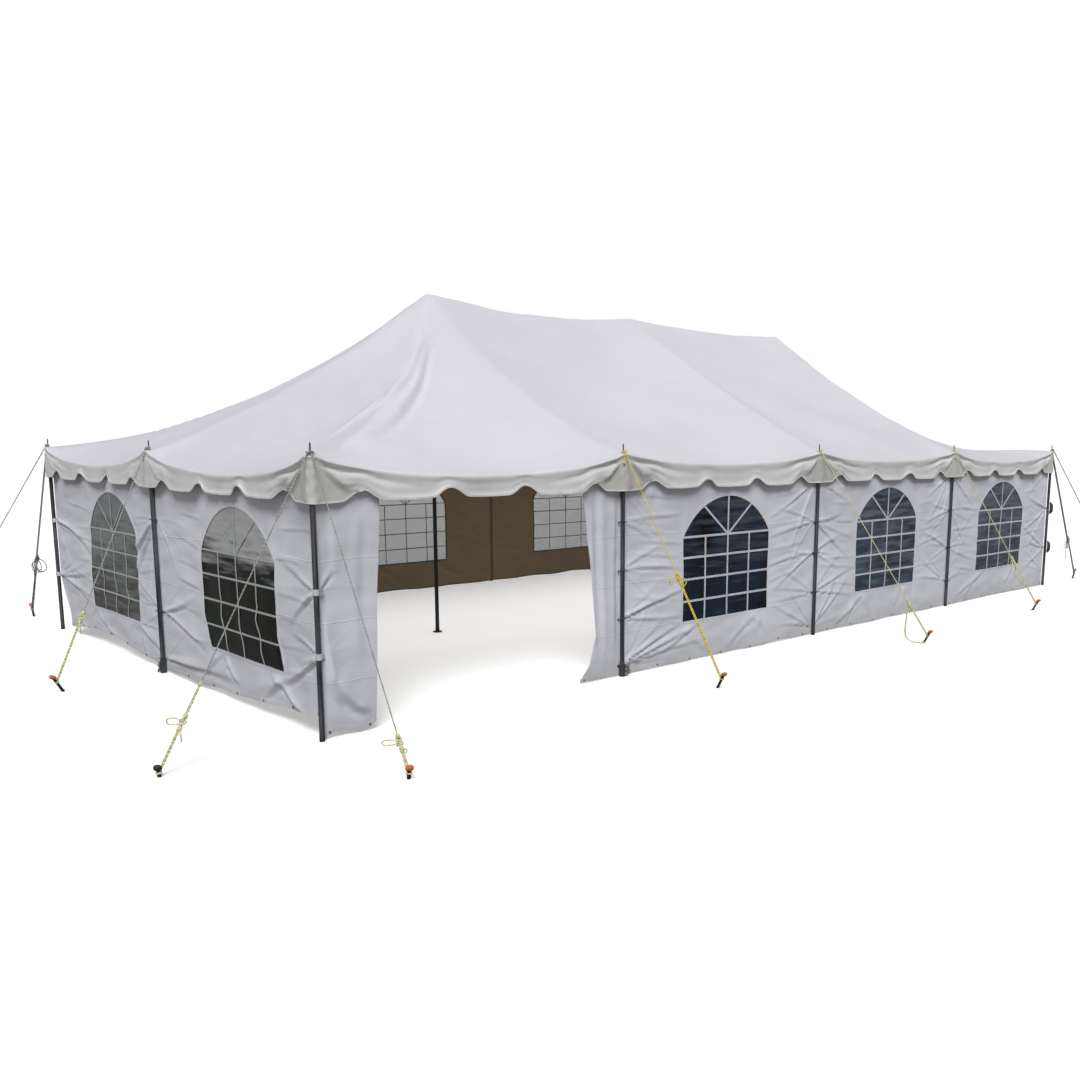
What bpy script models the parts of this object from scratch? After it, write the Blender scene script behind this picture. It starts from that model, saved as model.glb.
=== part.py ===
"""Marquee: a pole tent of four bays by two, with window walls and one open door bay.

Units are metres and +Z is up. The origin lies on the ground under the middle of the tent.
+X runs along the ridge and the front, with the door bay at its left end, faces -Y.
"""

import math

import bmesh
import bpy
from mathutils import Matrix, Vector

NAME = "marquee_tent"

# Plan
BAY = 3.048
HALF_LENGTH = 2 * BAY
HALF_DEPTH = BAY
CENTRE_POLE_X = (-BAY, 0.0, BAY)

# Canopy heights and sags
EAVE_Z = 2.07
PEAK_Z = 3.74
RIDGE_DIPS = (0.10, 0.05)
EAVE_SAGS = {
    "front": (0.15, 0.09, 0.09, 0.13),
    "back": (0.15, 0.10, 0.10, 0.15),
    "left": (0.16, 0.16),
    "right": (0.16, 0.16),
}
EAVE_SAG_POWER = 0.6
SEAM_SAGS = {"front": (0.19, 0.06, 0.06), "back": (0.12, 0.06, 0.12)}
END_SEAM_SAG = 0.13
HIP_SAG = 0.38
SHEET = 0.004
PAD = 0.03
OVERHANG = 0.055
GRID_STEPS = (0.0, 0.06, 0.18, 0.34, 0.5, 0.66, 0.82, 0.94, 1.0)

# Valance
VALANCE_BOTTOM_Z = 1.735
SCALLOP_RISE = 0.08
SCALLOPS_PER_BAY = 4
SCALLOP_POWER = 5
SCALLOP_STEPS = (-0.5, -0.48, -0.44, -0.37, -0.25, 0.25, 0.37, 0.44, 0.48)

# Poles
POLE_RADIUS = 0.021
PIN_RADIUS = 0.006
PIN_ABOVE_CANOPY = 0.09
CENTRE_POLE_RADIUS = 0.03
CENTRE_POLE_FOOT_RADIUS = 0.055
CENTRE_POLE_FOOT_HEIGHT = 0.012
POLE_SIDES = 12

# Walls
WALL_THICKNESS = 0.004
WALL_TOP_CLEARANCE = 0.003
HEM_Z = 0.03
LEFT_HEM = ((-1.0, 0.17), (-0.35, 0.05), (0.0, 0.03), (0.25, 0.10), (0.5, 0.15), (0.8, 0.12), (1.0, 0.07))
DOOR_LEFT_TOP_X = -5.54
DOOR_LEFT_FOOT_X = -5.64
DOOR_RIGHT_EDGE = ((-3.52, 1.7), (-3.42, 1.0), (-3.38, 0.43), (-3.45, 0.16))
DOOR_RIGHT_FOOT_X = -3.56
LEFT_WALL_GATHER = 0.95
LEFT_WALL_SLIP = -0.23

# Windows
WINDOW_WIDTH = 1.345
WINDOW_BOTTOM_Z = 0.41
WINDOW_SPRING_Z = 1.25
WINDOW_RISE = 0.39
WINDOW_ARC_STEPS = 8
PANE_MARGIN = 0.025
PANE_THICKNESS = 0.003

# Guy ropes and stakes
ROPE_RADIUS = 0.005
GUY_REACH = 1.15
STAKE_RADIUS = 0.012
STAKE_HEIGHT = 0.155
STAKE_LEAN = 0.05
CAP_RADIUS = 0.018
CAP_HEIGHT = 0.03
STAKE_SIDES = 8
ROPE_ON_STAKE_Z = 0.085

# Clearance between pieces that touch
SEAT_GAP = 0.0003

COLOURS = {
    "roof_sheet": ((0.72, 0.72, 0.76), 0.55, 0.0),
    "wall_sheet": ((0.60, 0.62, 0.69), 0.5, 0.0),
    "window_pane": ((0.07, 0.08, 0.10), 0.15, 0.0),
    "pole_steel": ((0.12, 0.12, 0.12), 0.45, 0.9),
    "guy_rope": ((0.62, 0.60, 0.30), 0.9, 0.0),
}


def clear_scene():
    """Remove every object, so that the file holds only this model."""
    for old in list(bpy.data.objects):
        bpy.data.objects.remove(old, do_unlink=True)


def make_collection(name):
    """Return a new collection linked to the scene."""
    collection = bpy.data.collections.new(name)
    bpy.context.scene.collection.children.link(collection)
    return collection


def make_material(name):
    """Return the Principled material of one kind of surface."""
    colour, roughness, metallic = COLOURS[name]
    material = bpy.data.materials.new(name)
    material.use_nodes = True
    shader = material.node_tree.nodes["Principled BSDF"]
    shader.inputs["Base Color"].default_value = (*colour, 1.0)
    shader.inputs["Roughness"].default_value = roughness
    shader.inputs["Metallic"].default_value = metallic
    return material


def add_object(name, data, collection, material=None):
    """Link a new object that carries the given mesh or curve."""
    item = bpy.data.objects.new(name, data)
    collection.objects.link(item)
    if material is not None:
        data.materials.append(material)
    return item


def clamp(value):
    """Limit a value to the range from 0 to 1."""
    return min(1.0, max(0.0, value))


def bay_share(distance):
    """Share of a bay between its two pads at a distance from one pole."""
    return clamp((distance - PAD) / (BAY - 2 * PAD))


def bay_at(x):
    """Index of the bay along X that holds x, and the share of it left of x."""
    index = min(3, max(0, int((x + HALF_LENGTH) // BAY)))
    return index, bay_share(x + HALF_LENGTH - index * BAY)


def arch(share):
    """Parabola that is 0 at both ends of a span and 1 in its middle."""
    return 4 * share * (1 - share)


def eave_height(sag, share):
    """Height of the eave at a share of a bay, steep beside the poles and flat between."""
    return EAVE_Z - sag * math.sin(math.pi * share) ** EAVE_SAG_POWER


def side_eave_height(side, along):
    """Height of the canopy's edge on a side at a distance along X or Y."""
    half = HALF_LENGTH if side in ("front", "back") else HALF_DEPTH
    sags = EAVE_SAGS[side]
    index = min(len(sags) - 1, max(0, int((along + half) // BAY)))
    return eave_height(sags[index], bay_share(along + half - index * BAY))


def ridge_bay_height(x, y, side):
    """Canopy height between two centre poles."""
    index, share = bay_at(x)
    ridge = PEAK_Z - RIDGE_DIPS[index - 1] * arch(share)
    eave = eave_height(EAVE_SAGS[side][index], share)
    first, second = SEAM_SAGS[side][index - 1:index + 1]
    sag = first + (second - first) * share
    down = bay_share(abs(y))
    return ridge + (eave - ridge) * down - sag * arch(down)


def hip_bay_height(x, y, side):
    """Canopy height between an outer centre pole and the end of the tent."""
    across = bay_share(abs(x) - BAY)
    forward = bay_share(abs(y))
    down = max(across, forward)
    share = min(across, forward) / down if down > 0 else 0.0
    if forward >= across:
        eave_sag = EAVE_SAGS[side][0 if x < 0 else 3]
        seam_sag = SEAM_SAGS[side][0 if x < 0 else 2]
    else:
        eave_sag = EAVE_SAGS["left" if x < 0 else "right"][0]
        seam_sag = END_SEAM_SAG
    eave = eave_height(eave_sag, share)
    sag = seam_sag + (HIP_SAG - seam_sag) * share
    return PEAK_Z + (eave - PEAK_Z) * down - sag * arch(down)


def canopy_height(x, y):
    """Height of the canopy's upper face above any point of the plan."""
    side = "front" if y < 0 else "back"
    if abs(x) > BAY:
        return hip_bay_height(x, y, side)
    return ridge_bay_height(x, y, side)


def stations(half):
    """Grid lines over a side of the given half length, with a flat pad at each pole."""
    lines = []
    bays = round(2 * half / BAY)
    for bay in range(bays):
        start = -half + bay * BAY + PAD
        lines += [start + step * (BAY - 2 * PAD) for step in GRID_STEPS]
    return [-half - OVERHANG] + lines + [half + OVERHANG]


def on_hip(point):
    """Tell whether a point lies on one of the four hip seams."""
    return abs(point.x) > BAY and abs(abs(point.x) - BAY - abs(point.y)) < 1e-5


def build_canopy(collection, cutters, material):
    """Make the roof sheet: a draped grid with real thickness and a hole for each pin."""
    xs = stations(HALF_LENGTH)
    ys = stations(HALF_DEPTH)
    bm = bmesh.new()
    bmesh.ops.create_grid(bm, x_segments=len(xs) - 1, y_segments=len(ys) - 1, size=0.5)
    for vert in bm.verts:
        x = xs[round((vert.co.x + 0.5) * (len(xs) - 1))]
        y = ys[round((vert.co.y + 0.5) * (len(ys) - 1))]
        vert.co = (x, y, canopy_height(x, y))
    for face in list(bm.faces):
        crease = [vert for vert in face.verts if on_hip(vert.co)]
        if len(crease) == 2 and crease[0].co.x != crease[1].co.x:
            bmesh.utils.face_split(face, crease[0], crease[1])
    upper = list(bm.faces)
    lower = bmesh.ops.extrude_face_region(bm, geom=upper, use_keep_orig=True)
    moved = [item for item in lower["geom"] if isinstance(item, bmesh.types.BMVert)]
    bmesh.ops.translate(bm, verts=moved, vec=(0, 0, -SHEET))
    bmesh.ops.recalc_face_normals(bm, faces=bm.faces)
    mesh = bpy.data.meshes.new("roof_canopy")
    bm.to_mesh(mesh)
    bm.free()
    canopy = add_object("roof_canopy", mesh, collection, material)
    holes = build_pin_holes(cutters)
    cut = canopy.modifiers.new("pin_holes", "BOOLEAN")
    cut.object = holes
    return canopy


def build_pin_holes(cutters):
    """Make the cutter for the grommets over the side poles."""
    bm = bmesh.new()
    for x, y in side_pole_places().values():
        bmesh.ops.create_cone(
            bm, cap_ends=True, segments=POLE_SIDES, depth=0.1,
            radius1=PIN_RADIUS + SEAT_GAP, radius2=PIN_RADIUS + SEAT_GAP,
            matrix=Matrix.Translation((x, y, EAVE_Z)))
    mesh = bpy.data.meshes.new("pin_holes")
    bm.to_mesh(mesh)
    bm.free()
    holes = add_object("pin_holes", mesh, cutters)
    holes.hide_render = True
    holes.display_type = "WIRE"
    return holes


def side_pole_places():
    """Plan positions of the twelve side poles, by name."""
    places = {}
    for row, y in (("front", -HALF_DEPTH), ("back", HALF_DEPTH)):
        places[f"{row}_left_corner"] = (-HALF_LENGTH, y)
        for count, x in enumerate(CENTRE_POLE_X, start=1):
            places[f"{row}_{count}"] = (x, y)
        places[f"{row}_right_corner"] = (HALF_LENGTH, y)
    places["left_middle"] = (-HALF_LENGTH, 0.0)
    places["right_middle"] = (HALF_LENGTH, 0.0)
    return places


def turn_profile(name, profile, collection, material):
    """Make a closed turned solid from radius and height points that run from top to bottom."""
    mesh = bpy.data.meshes.new(name)
    edges = [(i, i + 1) for i in range(len(profile) - 1)]
    mesh.from_pydata([(radius, 0, z) for radius, z in profile], edges, [])
    item = add_object(name, mesh, collection, material)
    screw = item.modifiers.new("turn", "SCREW")
    screw.steps = POLE_SIDES
    screw.render_steps = POLE_SIDES
    screw.use_merge_vertices = True
    screw.merge_threshold = 0.0001
    return item


def build_side_poles(collection, material):
    """Stand a pole with a top pin at each side position."""
    shoulder = EAVE_Z - SHEET - SEAT_GAP
    profile = [
        (0, EAVE_Z + PIN_ABOVE_CANOPY),
        (PIN_RADIUS, EAVE_Z + PIN_ABOVE_CANOPY),
        (PIN_RADIUS, shoulder),
        (POLE_RADIUS, shoulder),
        (POLE_RADIUS, 0),
        (0, 0),
    ]
    for name, (x, y) in side_pole_places().items():
        pole = turn_profile(f"side_pole_{name}", profile, collection, material)
        pole.location = (x, y, 0)


def build_centre_poles(collection, material):
    """Stand the three poles that lift the ridge."""
    profile = [
        (0, PEAK_Z - SHEET - SEAT_GAP),
        (PAD * 0.8, PEAK_Z - SHEET - SEAT_GAP),
        (CENTRE_POLE_RADIUS * 0.8, PEAK_Z - 0.1),
        (CENTRE_POLE_RADIUS, PEAK_Z - 0.14),
        (CENTRE_POLE_RADIUS, CENTRE_POLE_FOOT_HEIGHT),
        (CENTRE_POLE_FOOT_RADIUS, CENTRE_POLE_FOOT_HEIGHT),
        (CENTRE_POLE_FOOT_RADIUS, 0),
        (0, 0),
    ]
    for count, x in enumerate(CENTRE_POLE_X, start=1):
        pole = turn_profile(f"centre_pole_{count}", profile, collection, material)
        pole.location = (x, 0, 0)


def flat_panel(name, loops, thickness, collection, material):
    """Make a flat sheet from an outline and its holes, upright in the XZ plane."""
    curve = bpy.data.curves.new(name, "CURVE")
    curve.dimensions = "2D"
    curve.fill_mode = "BOTH"
    curve.extrude = thickness / 2
    for loop in loops:
        spline = curve.splines.new("POLY")
        spline.points.add(len(loop) - 1)
        for point, (u, z) in zip(spline.points, loop):
            point.co = (u, z, 0, 1)
        spline.use_cyclic_u = True
    panel = add_object(name, curve, collection, material)
    panel.rotation_euler = (math.pi / 2, 0, 0)
    return panel


def place_panel(panel, side, offset):
    """Turn a flat panel to its side of the tent and set its middle plane's distance."""
    if side in ("front", "back"):
        panel.location.y = -offset if side == "front" else offset
    else:
        panel.rotation_euler.z = math.pi / 2
        panel.location.x = -offset if side == "left" else offset


def top_edge(side, start, end, drop):
    """Points from end back to start, a drop below the canopy's upper face."""
    half = HALF_LENGTH if side in ("front", "back") else HALF_DEPTH
    inner = [u for u in stations(half) if start < u < end]
    return [(u, side_eave_height(side, u) - drop) for u in [end, *reversed(inner), start]]


def scallop_edge(start, end):
    """Points along the valance's lower edge, with a scallop centred on each pole."""
    width = BAY / SCALLOPS_PER_BAY
    last = round((end - start) / width)
    points = []
    for count in range(last + 1):
        for step in SCALLOP_STEPS:
            u = (count + step) * width + start
            inside = start < u < end
            if inside:
                rise = SCALLOP_RISE * abs(2 * step) ** SCALLOP_POWER
                points.append((u, VALANCE_BOTTOM_Z + rise))
    return [(start, VALANCE_BOTTOM_Z), *points, (end, VALANCE_BOTTOM_Z)]


def build_valances(collection, material):
    """Hang the scalloped strip under each edge of the canopy."""
    for side, half, reach in (
            ("front", HALF_LENGTH, HALF_DEPTH), ("back", HALF_LENGTH, HALF_DEPTH),
            ("left", HALF_DEPTH, HALF_LENGTH), ("right", HALF_DEPTH, HALF_LENGTH)):
        long_side = half == HALF_LENGTH
        end = half + OVERHANG - (0 if long_side else SHEET + SEAT_GAP)
        lower = scallop_edge(-half, half)
        lower[0] = (-end, VALANCE_BOTTOM_Z)
        lower[-1] = (end, VALANCE_BOTTOM_Z)
        upper = top_edge(side, -end, end, SHEET + SEAT_GAP)
        panel = flat_panel(f"valance_{side}", [lower + upper], SHEET, collection, material)
        place_panel(panel, side, reach + OVERHANG - SHEET / 2)


def window_outline(centre, margin=0.0):
    """Outline of an arched window: upright sides under a flat arc."""
    half = WINDOW_WIDTH / 2
    radius = (half ** 2 + WINDOW_RISE ** 2) / (2 * WINDOW_RISE)
    middle_z = WINDOW_SPRING_Z + WINDOW_RISE - radius
    reach = math.asin(half / radius)
    points = [(-half - margin, WINDOW_BOTTOM_Z - margin), (half + margin, WINDOW_BOTTOM_Z - margin)]
    for step in range(WINDOW_ARC_STEPS + 1):
        angle = reach * (1 - 2 * step / WINDOW_ARC_STEPS)
        points.append((
            (radius + margin) * math.sin(angle) + math.copysign(margin * (1 - math.sin(reach)), angle),
            middle_z + (radius + margin) * math.cos(angle)))
    return [(centre + u, z) for u, z in points]


def hem(side, start, end):
    """Points along a wall's lower edge from start to end."""
    if side == "left":
        return [(share * (end if share > 0 else -start), z) for share, z in LEFT_HEM]
    return [(start, HEM_Z), (end, HEM_Z)]


def bay_centres(half, skip=0):
    """Middles of the bays along a side, without the first ones."""
    bays = round(2 * half / BAY)
    return [-half + (bay + 0.5) * BAY for bay in range(skip, bays)]


def wall_layout():
    """For each walled side: its start, its end and the middles of its windows."""
    end_reach = HALF_DEPTH - POLE_RADIUS - WALL_THICKNESS - 2 * SEAT_GAP
    long_reach = HALF_LENGTH - POLE_RADIUS - SEAT_GAP
    gathered = [LEFT_WALL_GATHER * u + LEFT_WALL_SLIP for u in bay_centres(HALF_DEPTH)]
    return {
        "front": (DOOR_RIGHT_FOOT_X, long_reach, bay_centres(HALF_LENGTH, skip=1)),
        "back": (-long_reach, long_reach, bay_centres(HALF_LENGTH)),
        "left": (-end_reach, end_reach, gathered),
        "right": (-end_reach, end_reach, bay_centres(HALF_DEPTH)),
    }


def build_walls(collection, wall_material, pane_material):
    """Hang the walls inside the poles, cut their windows and back each with a pane."""
    drop = SHEET + WALL_TOP_CLEARANCE
    for side, (start, end, centres) in wall_layout().items():
        reach = HALF_DEPTH if side in ("front", "back") else HALF_LENGTH
        offset = reach - POLE_RADIUS - SEAT_GAP - WALL_THICKNESS / 2
        head = DOOR_RIGHT_EDGE[0][0] if side == "front" else start
        outline = [*hem(side, start, end), *top_edge(side, head, end, drop)]
        if side == "front":
            outline += DOOR_RIGHT_EDGE
        holes = [window_outline(centre) for centre in centres]
        wall = flat_panel(f"{side}_wall", [outline, *holes], WALL_THICKNESS, collection, wall_material)
        place_panel(wall, side, offset)
        pane_offset = offset - WALL_THICKNESS / 2 - SEAT_GAP - PANE_THICKNESS / 2
        for count, centre in enumerate(centres, start=1):
            pane_outline = window_outline(centre, PANE_MARGIN)
            pane = flat_panel(f"{side}_window_{count}", [pane_outline], PANE_THICKNESS,
                              collection, pane_material)
            place_panel(pane, side, pane_offset)


def build_door_flap(collection, material):
    """Hang the narrow strip of wall between the corner pole and the door."""
    drop = SHEET + WALL_TOP_CLEARANCE
    start = -HALF_LENGTH + POLE_RADIUS + SEAT_GAP
    outline = [(start, HEM_Z), (DOOR_LEFT_FOOT_X, HEM_Z),
               *top_edge("front", start, DOOR_LEFT_TOP_X, drop)]
    flap = flat_panel("door_flap", [outline], WALL_THICKNESS, collection, material)
    place_panel(flap, "front", HALF_DEPTH - POLE_RADIUS - SEAT_GAP - WALL_THICKNESS / 2)


def guy_routes():
    """For each guy rope: the pole's plan position, its outward direction and its stake."""
    routes = {}
    for row, y, outward in (("front", -HALF_DEPTH, -1), ("back", HALF_DEPTH, 1)):
        stake_y = y + outward * GUY_REACH
        for end, x, along in (("left", -HALF_LENGTH, -1), ("right", HALF_LENGTH, 1)):
            routes[f"{row}_{end}_corner_across"] = ((x, y), (0, outward), (x, stake_y))
            routes[f"{row}_{end}_corner_along"] = ((x, y), (along, 0), (x + along * GUY_REACH, y))
    # The ropes of the middle poles are set where the ground took their stakes
    for count, (shift, reach) in enumerate(((0.31, 0.91), (0.5, 1.12), (0.55, 0.96)), start=1):
        x = CENTRE_POLE_X[count - 1]
        routes[f"front_{count}"] = ((x, -HALF_DEPTH), (0, -1), (x + shift, -HALF_DEPTH - reach))
        routes[f"back_{count}"] = ((x, HALF_DEPTH), (0, 1), (x, HALF_DEPTH + GUY_REACH - 0.05))
    routes["left_middle"] = ((-HALF_LENGTH, 0), (-1, 0), (-HALF_LENGTH - 0.9, -0.15))
    routes["right_middle"] = ((HALF_LENGTH, 0), (1, 0), (HALF_LENGTH + 1.0, 0))
    return routes


def stake_mesh(place, outward):
    """Make a stake that leans away from the tent, with level ends and a fatter cap."""
    bm = bmesh.new()
    rings = (
        (STAKE_RADIUS, 0.0), (STAKE_RADIUS, STAKE_HEIGHT - CAP_HEIGHT),
        (CAP_RADIUS, STAKE_HEIGHT - CAP_HEIGHT), (CAP_RADIUS, STAKE_HEIGHT))
    loops = []
    for radius, z in rings:
        middle = Vector((place[0], place[1], z)) + Vector((*outward, 0)) * STAKE_LEAN * z / STAKE_HEIGHT
        angles = [2 * math.pi * side / STAKE_SIDES for side in range(STAKE_SIDES)]
        loops.append([bm.verts.new(middle + Vector((math.cos(a), math.sin(a), 0)) * radius)
                      for a in angles])
    bm.faces.new(reversed(loops[0]))
    bm.faces.new(loops[-1])
    for below, above in zip(loops, loops[1:]):
        for side in range(STAKE_SIDES):
            after = (side + 1) % STAKE_SIDES
            bm.faces.new((below[side], below[after], above[after], above[side]))
    return bm


def rope_mesh(points):
    """Make a taut rope: a bevelled poly curve turned into a mesh with welded caps."""
    curve = bpy.data.curves.new("rope", "CURVE")
    curve.dimensions = "3D"
    curve.bevel_depth = ROPE_RADIUS
    curve.bevel_resolution = 1
    curve.use_fill_caps = True
    spline = curve.splines.new("POLY")
    spline.points.add(len(points) - 1)
    for point, place in zip(spline.points, points):
        point.co = (*place, 1)
    holder = bpy.data.objects.new("rope", curve)
    bpy.context.scene.collection.objects.link(holder)
    graph = bpy.context.evaluated_depsgraph_get()
    mesh = bpy.data.meshes.new_from_object(holder.evaluated_get(graph))
    bpy.data.objects.remove(holder, do_unlink=True)
    bpy.data.curves.remove(curve)
    bm = bmesh.new()
    bm.from_mesh(mesh)
    bmesh.ops.remove_doubles(bm, verts=bm.verts, dist=0.00005)
    bmesh.ops.recalc_face_normals(bm, faces=bm.faces)
    bm.to_mesh(mesh)
    bm.free()
    return mesh


def build_guys(collection, cutters, material):
    """Run each rope from its pin over the canopy's edge to its stake, as one solid."""
    over_edge = OVERHANG + 0.006
    rope_z = EAVE_Z + SEAT_GAP + ROPE_RADIUS
    for name, ((x, y), (out_x, out_y), (stake_x, stake_y)) in guy_routes().items():
        start = PIN_RADIUS + SEAT_GAP
        bm = stake_mesh((stake_x, stake_y), (out_x, out_y))
        mesh = bpy.data.meshes.new(f"guy_{name}")
        bm.to_mesh(mesh)
        bm.free()
        guy = add_object(f"guy_{name}", mesh, collection, material)
        lean = STAKE_LEAN * ROPE_ON_STAKE_Z / STAKE_HEIGHT
        points = [
            (x + out_x * start, y + out_y * start, rope_z),
            (x + out_x * over_edge, y + out_y * over_edge, rope_z),
            (stake_x + out_x * lean, stake_y + out_y * lean, ROPE_ON_STAKE_Z),
        ]
        rope = add_object(f"rope_{name}", rope_mesh(points), cutters)
        rope.hide_render = True
        rope.display_type = "WIRE"
        join = guy.modifiers.new("rope", "BOOLEAN")
        join.operation = "UNION"
        join.object = rope


def main():
    """Build the whole tent."""
    clear_scene()
    parts = make_collection(NAME)
    cutters = make_collection("cutters")
    materials = {name: make_material(name) for name in COLOURS}
    build_canopy(parts, cutters, materials["roof_sheet"])
    build_valances(parts, materials["roof_sheet"])
    build_walls(parts, materials["wall_sheet"], materials["window_pane"])
    build_door_flap(parts, materials["wall_sheet"])
    build_side_poles(parts, materials["pole_steel"])
    build_centre_poles(parts, materials["pole_steel"])
    build_guys(parts, cutters, materials["guy_rope"])


main()
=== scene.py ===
"""Dressing of a pole marquee: sheets, windows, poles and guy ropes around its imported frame.

Units are metres and +Z is up. +X runs along the ridge and the front of the tent faces -Y.
"""

import logging
import math
import random
from dataclasses import dataclass, field
from enum import Enum

import bmesh
import bpy
import numpy as np
from mathutils import Matrix, Vector


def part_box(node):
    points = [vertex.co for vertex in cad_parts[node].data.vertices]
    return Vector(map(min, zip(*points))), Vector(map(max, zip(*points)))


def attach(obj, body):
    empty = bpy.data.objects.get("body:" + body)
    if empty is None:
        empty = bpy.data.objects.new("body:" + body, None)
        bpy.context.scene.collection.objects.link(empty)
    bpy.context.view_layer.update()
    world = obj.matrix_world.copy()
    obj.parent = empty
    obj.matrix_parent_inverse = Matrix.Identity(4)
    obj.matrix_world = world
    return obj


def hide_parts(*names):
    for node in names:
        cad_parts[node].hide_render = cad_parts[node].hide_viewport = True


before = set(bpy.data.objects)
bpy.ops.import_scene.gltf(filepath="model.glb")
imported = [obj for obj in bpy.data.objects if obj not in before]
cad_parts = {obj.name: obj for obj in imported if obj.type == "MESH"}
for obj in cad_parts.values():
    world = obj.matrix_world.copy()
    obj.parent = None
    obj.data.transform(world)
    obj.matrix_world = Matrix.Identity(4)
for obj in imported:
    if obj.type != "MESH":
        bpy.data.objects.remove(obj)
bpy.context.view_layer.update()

BODY = "root"
LOG = logging.getLogger("marquee")
Points = np.ndarray
UP = Vector((0, 0, 1))
# A pole's head stops this far under the roof's upper face
HEAD_GAP = 0.0043


# Shared helpers

def linear(hex_colour: str) -> tuple[float, float, float, float]:
    """Turn an sRGB hex colour into linear light.

    Args:
        hex_colour: colour as "#rrggbb".

    Returns:
        Linear red, green, blue and an alpha of 1.
    """
    channels = [int(hex_colour[start:start + 2], 16) / 255 for start in (1, 3, 5)]
    light = [c / 12.92 if c <= 0.04045 else ((c + 0.055) / 1.055) ** 2.4 for c in channels]
    return (*light, 1.0)


def ease(value: Points | float, low: float = 0.0, high: float = 1.0) -> Points:
    """Rise smoothly from 0 to 1 between two values.

    Args:
        value: where to measure.
        low: value at which the rise starts.
        high: value at which it ends.

    Returns:
        Shares from 0 to 1.
    """
    share = np.clip((np.asarray(value, float) - low) / (high - low), 0.0, 1.0)
    return share * share * (3 - 2 * share)


def swell(u: Points, v: Points, size: float, seed: int) -> Points:
    """Soft random relief, the same in each run.

    Args:
        u: first coordinate in metres.
        v: second coordinate in metres.
        size: typical distance between two crests in metres.
        seed: number of the relief.

    Returns:
        Heights from about -1 to 1.
    """
    pick = random.Random(seed)
    total = np.zeros(np.broadcast(u, v).shape)
    waves = 8
    for _ in range(waves):
        turn = pick.uniform(0, 2 * math.pi)
        rate = 2 * math.pi / size * pick.uniform(0.6, 1.6)
        phase = pick.uniform(0, 2 * math.pi)
        total += np.sin((u * math.cos(turn) + v * math.sin(turn)) * rate + phase)
    return total / math.sqrt(waves)


def spaced(stops: list[float], step: float) -> Points:
    """Split the gaps between some stops evenly.

    Args:
        stops: values that have to be in the result.
        step: widest gap allowed.

    Returns:
        Rising values that include each stop.
    """
    stops = sorted(stops)
    values = [stops[0]]
    for low, high in zip(stops, stops[1:]):
        count = max(1, math.ceil((high - low) / step - 1e-6))
        values += [low + (high - low) * k / count for k in range(1, count + 1)]
    return np.array(values)


def flowing(points: list, step: float) -> Points:
    """Draw a smooth path through some points.

    Args:
        points: points the path passes through.
        step: distance between samples in metres.

    Returns:
        Samples along the path, shape (count, 3).
    """
    knots = np.array([tuple(point) for point in points], float)
    padded = np.vstack([2 * knots[0] - knots[1], knots, 2 * knots[-1] - knots[-2]])
    samples = []
    for a, b, c, d in zip(padded, padded[1:], padded[2:], padded[3:]):
        count = max(2, math.ceil(np.linalg.norm(c - b) / step))
        t = (np.arange(count) / count)[:, None]
        samples.append(0.5 * (2 * b + (c - a) * t + (2 * a - 5 * b + 4 * c - d) * t ** 2
                              + (3 * b - a - 3 * c + d) * t ** 3))
    return np.vstack([*samples, knots[-1:]])


def add_piece(name: str, points: Points, faces: list, materials: list,
              closed: bool = False) -> bpy.types.Object:
    """Make one visible piece that rides with the tent.

    Args:
        name: name of the piece.
        points: its points, shape (count, 3).
        faces: its faces as point numbers.
        materials: materials in slot order.
        closed: whether its faces close round a volume, so that they can be turned outward.

    Returns:
        The new object.
    """
    mesh = bpy.data.meshes.new(name)
    mesh.from_pydata(np.asarray(points, float).reshape(-1, 3).tolist(), [], faces)
    for material in materials:
        mesh.materials.append(material)
    if closed:
        bm = bmesh.new()
        bm.from_mesh(mesh)
        bmesh.ops.recalc_face_normals(bm, faces=bm.faces)
        bm.to_mesh(mesh)
        bm.free()
    mesh.shade_smooth()
    if closed:
        mesh.set_sharp_from_angle(angle=math.radians(50))
    piece = bpy.data.objects.new(name, mesh)
    bpy.context.scene.collection.objects.link(piece)
    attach(piece, BODY)
    return piece


def thicken(piece: bpy.types.Object, thickness: float) -> None:
    """Give a sheet its thickness, with the material after its own on the inner face.

    Args:
        piece: sheet whose faces look outward.
        thickness: thickness in metres.
    """
    solid = piece.modifiers.new("cloth_thickness", "SOLIDIFY")
    solid.thickness = thickness
    solid.offset = -1
    solid.material_offset = 1


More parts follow.
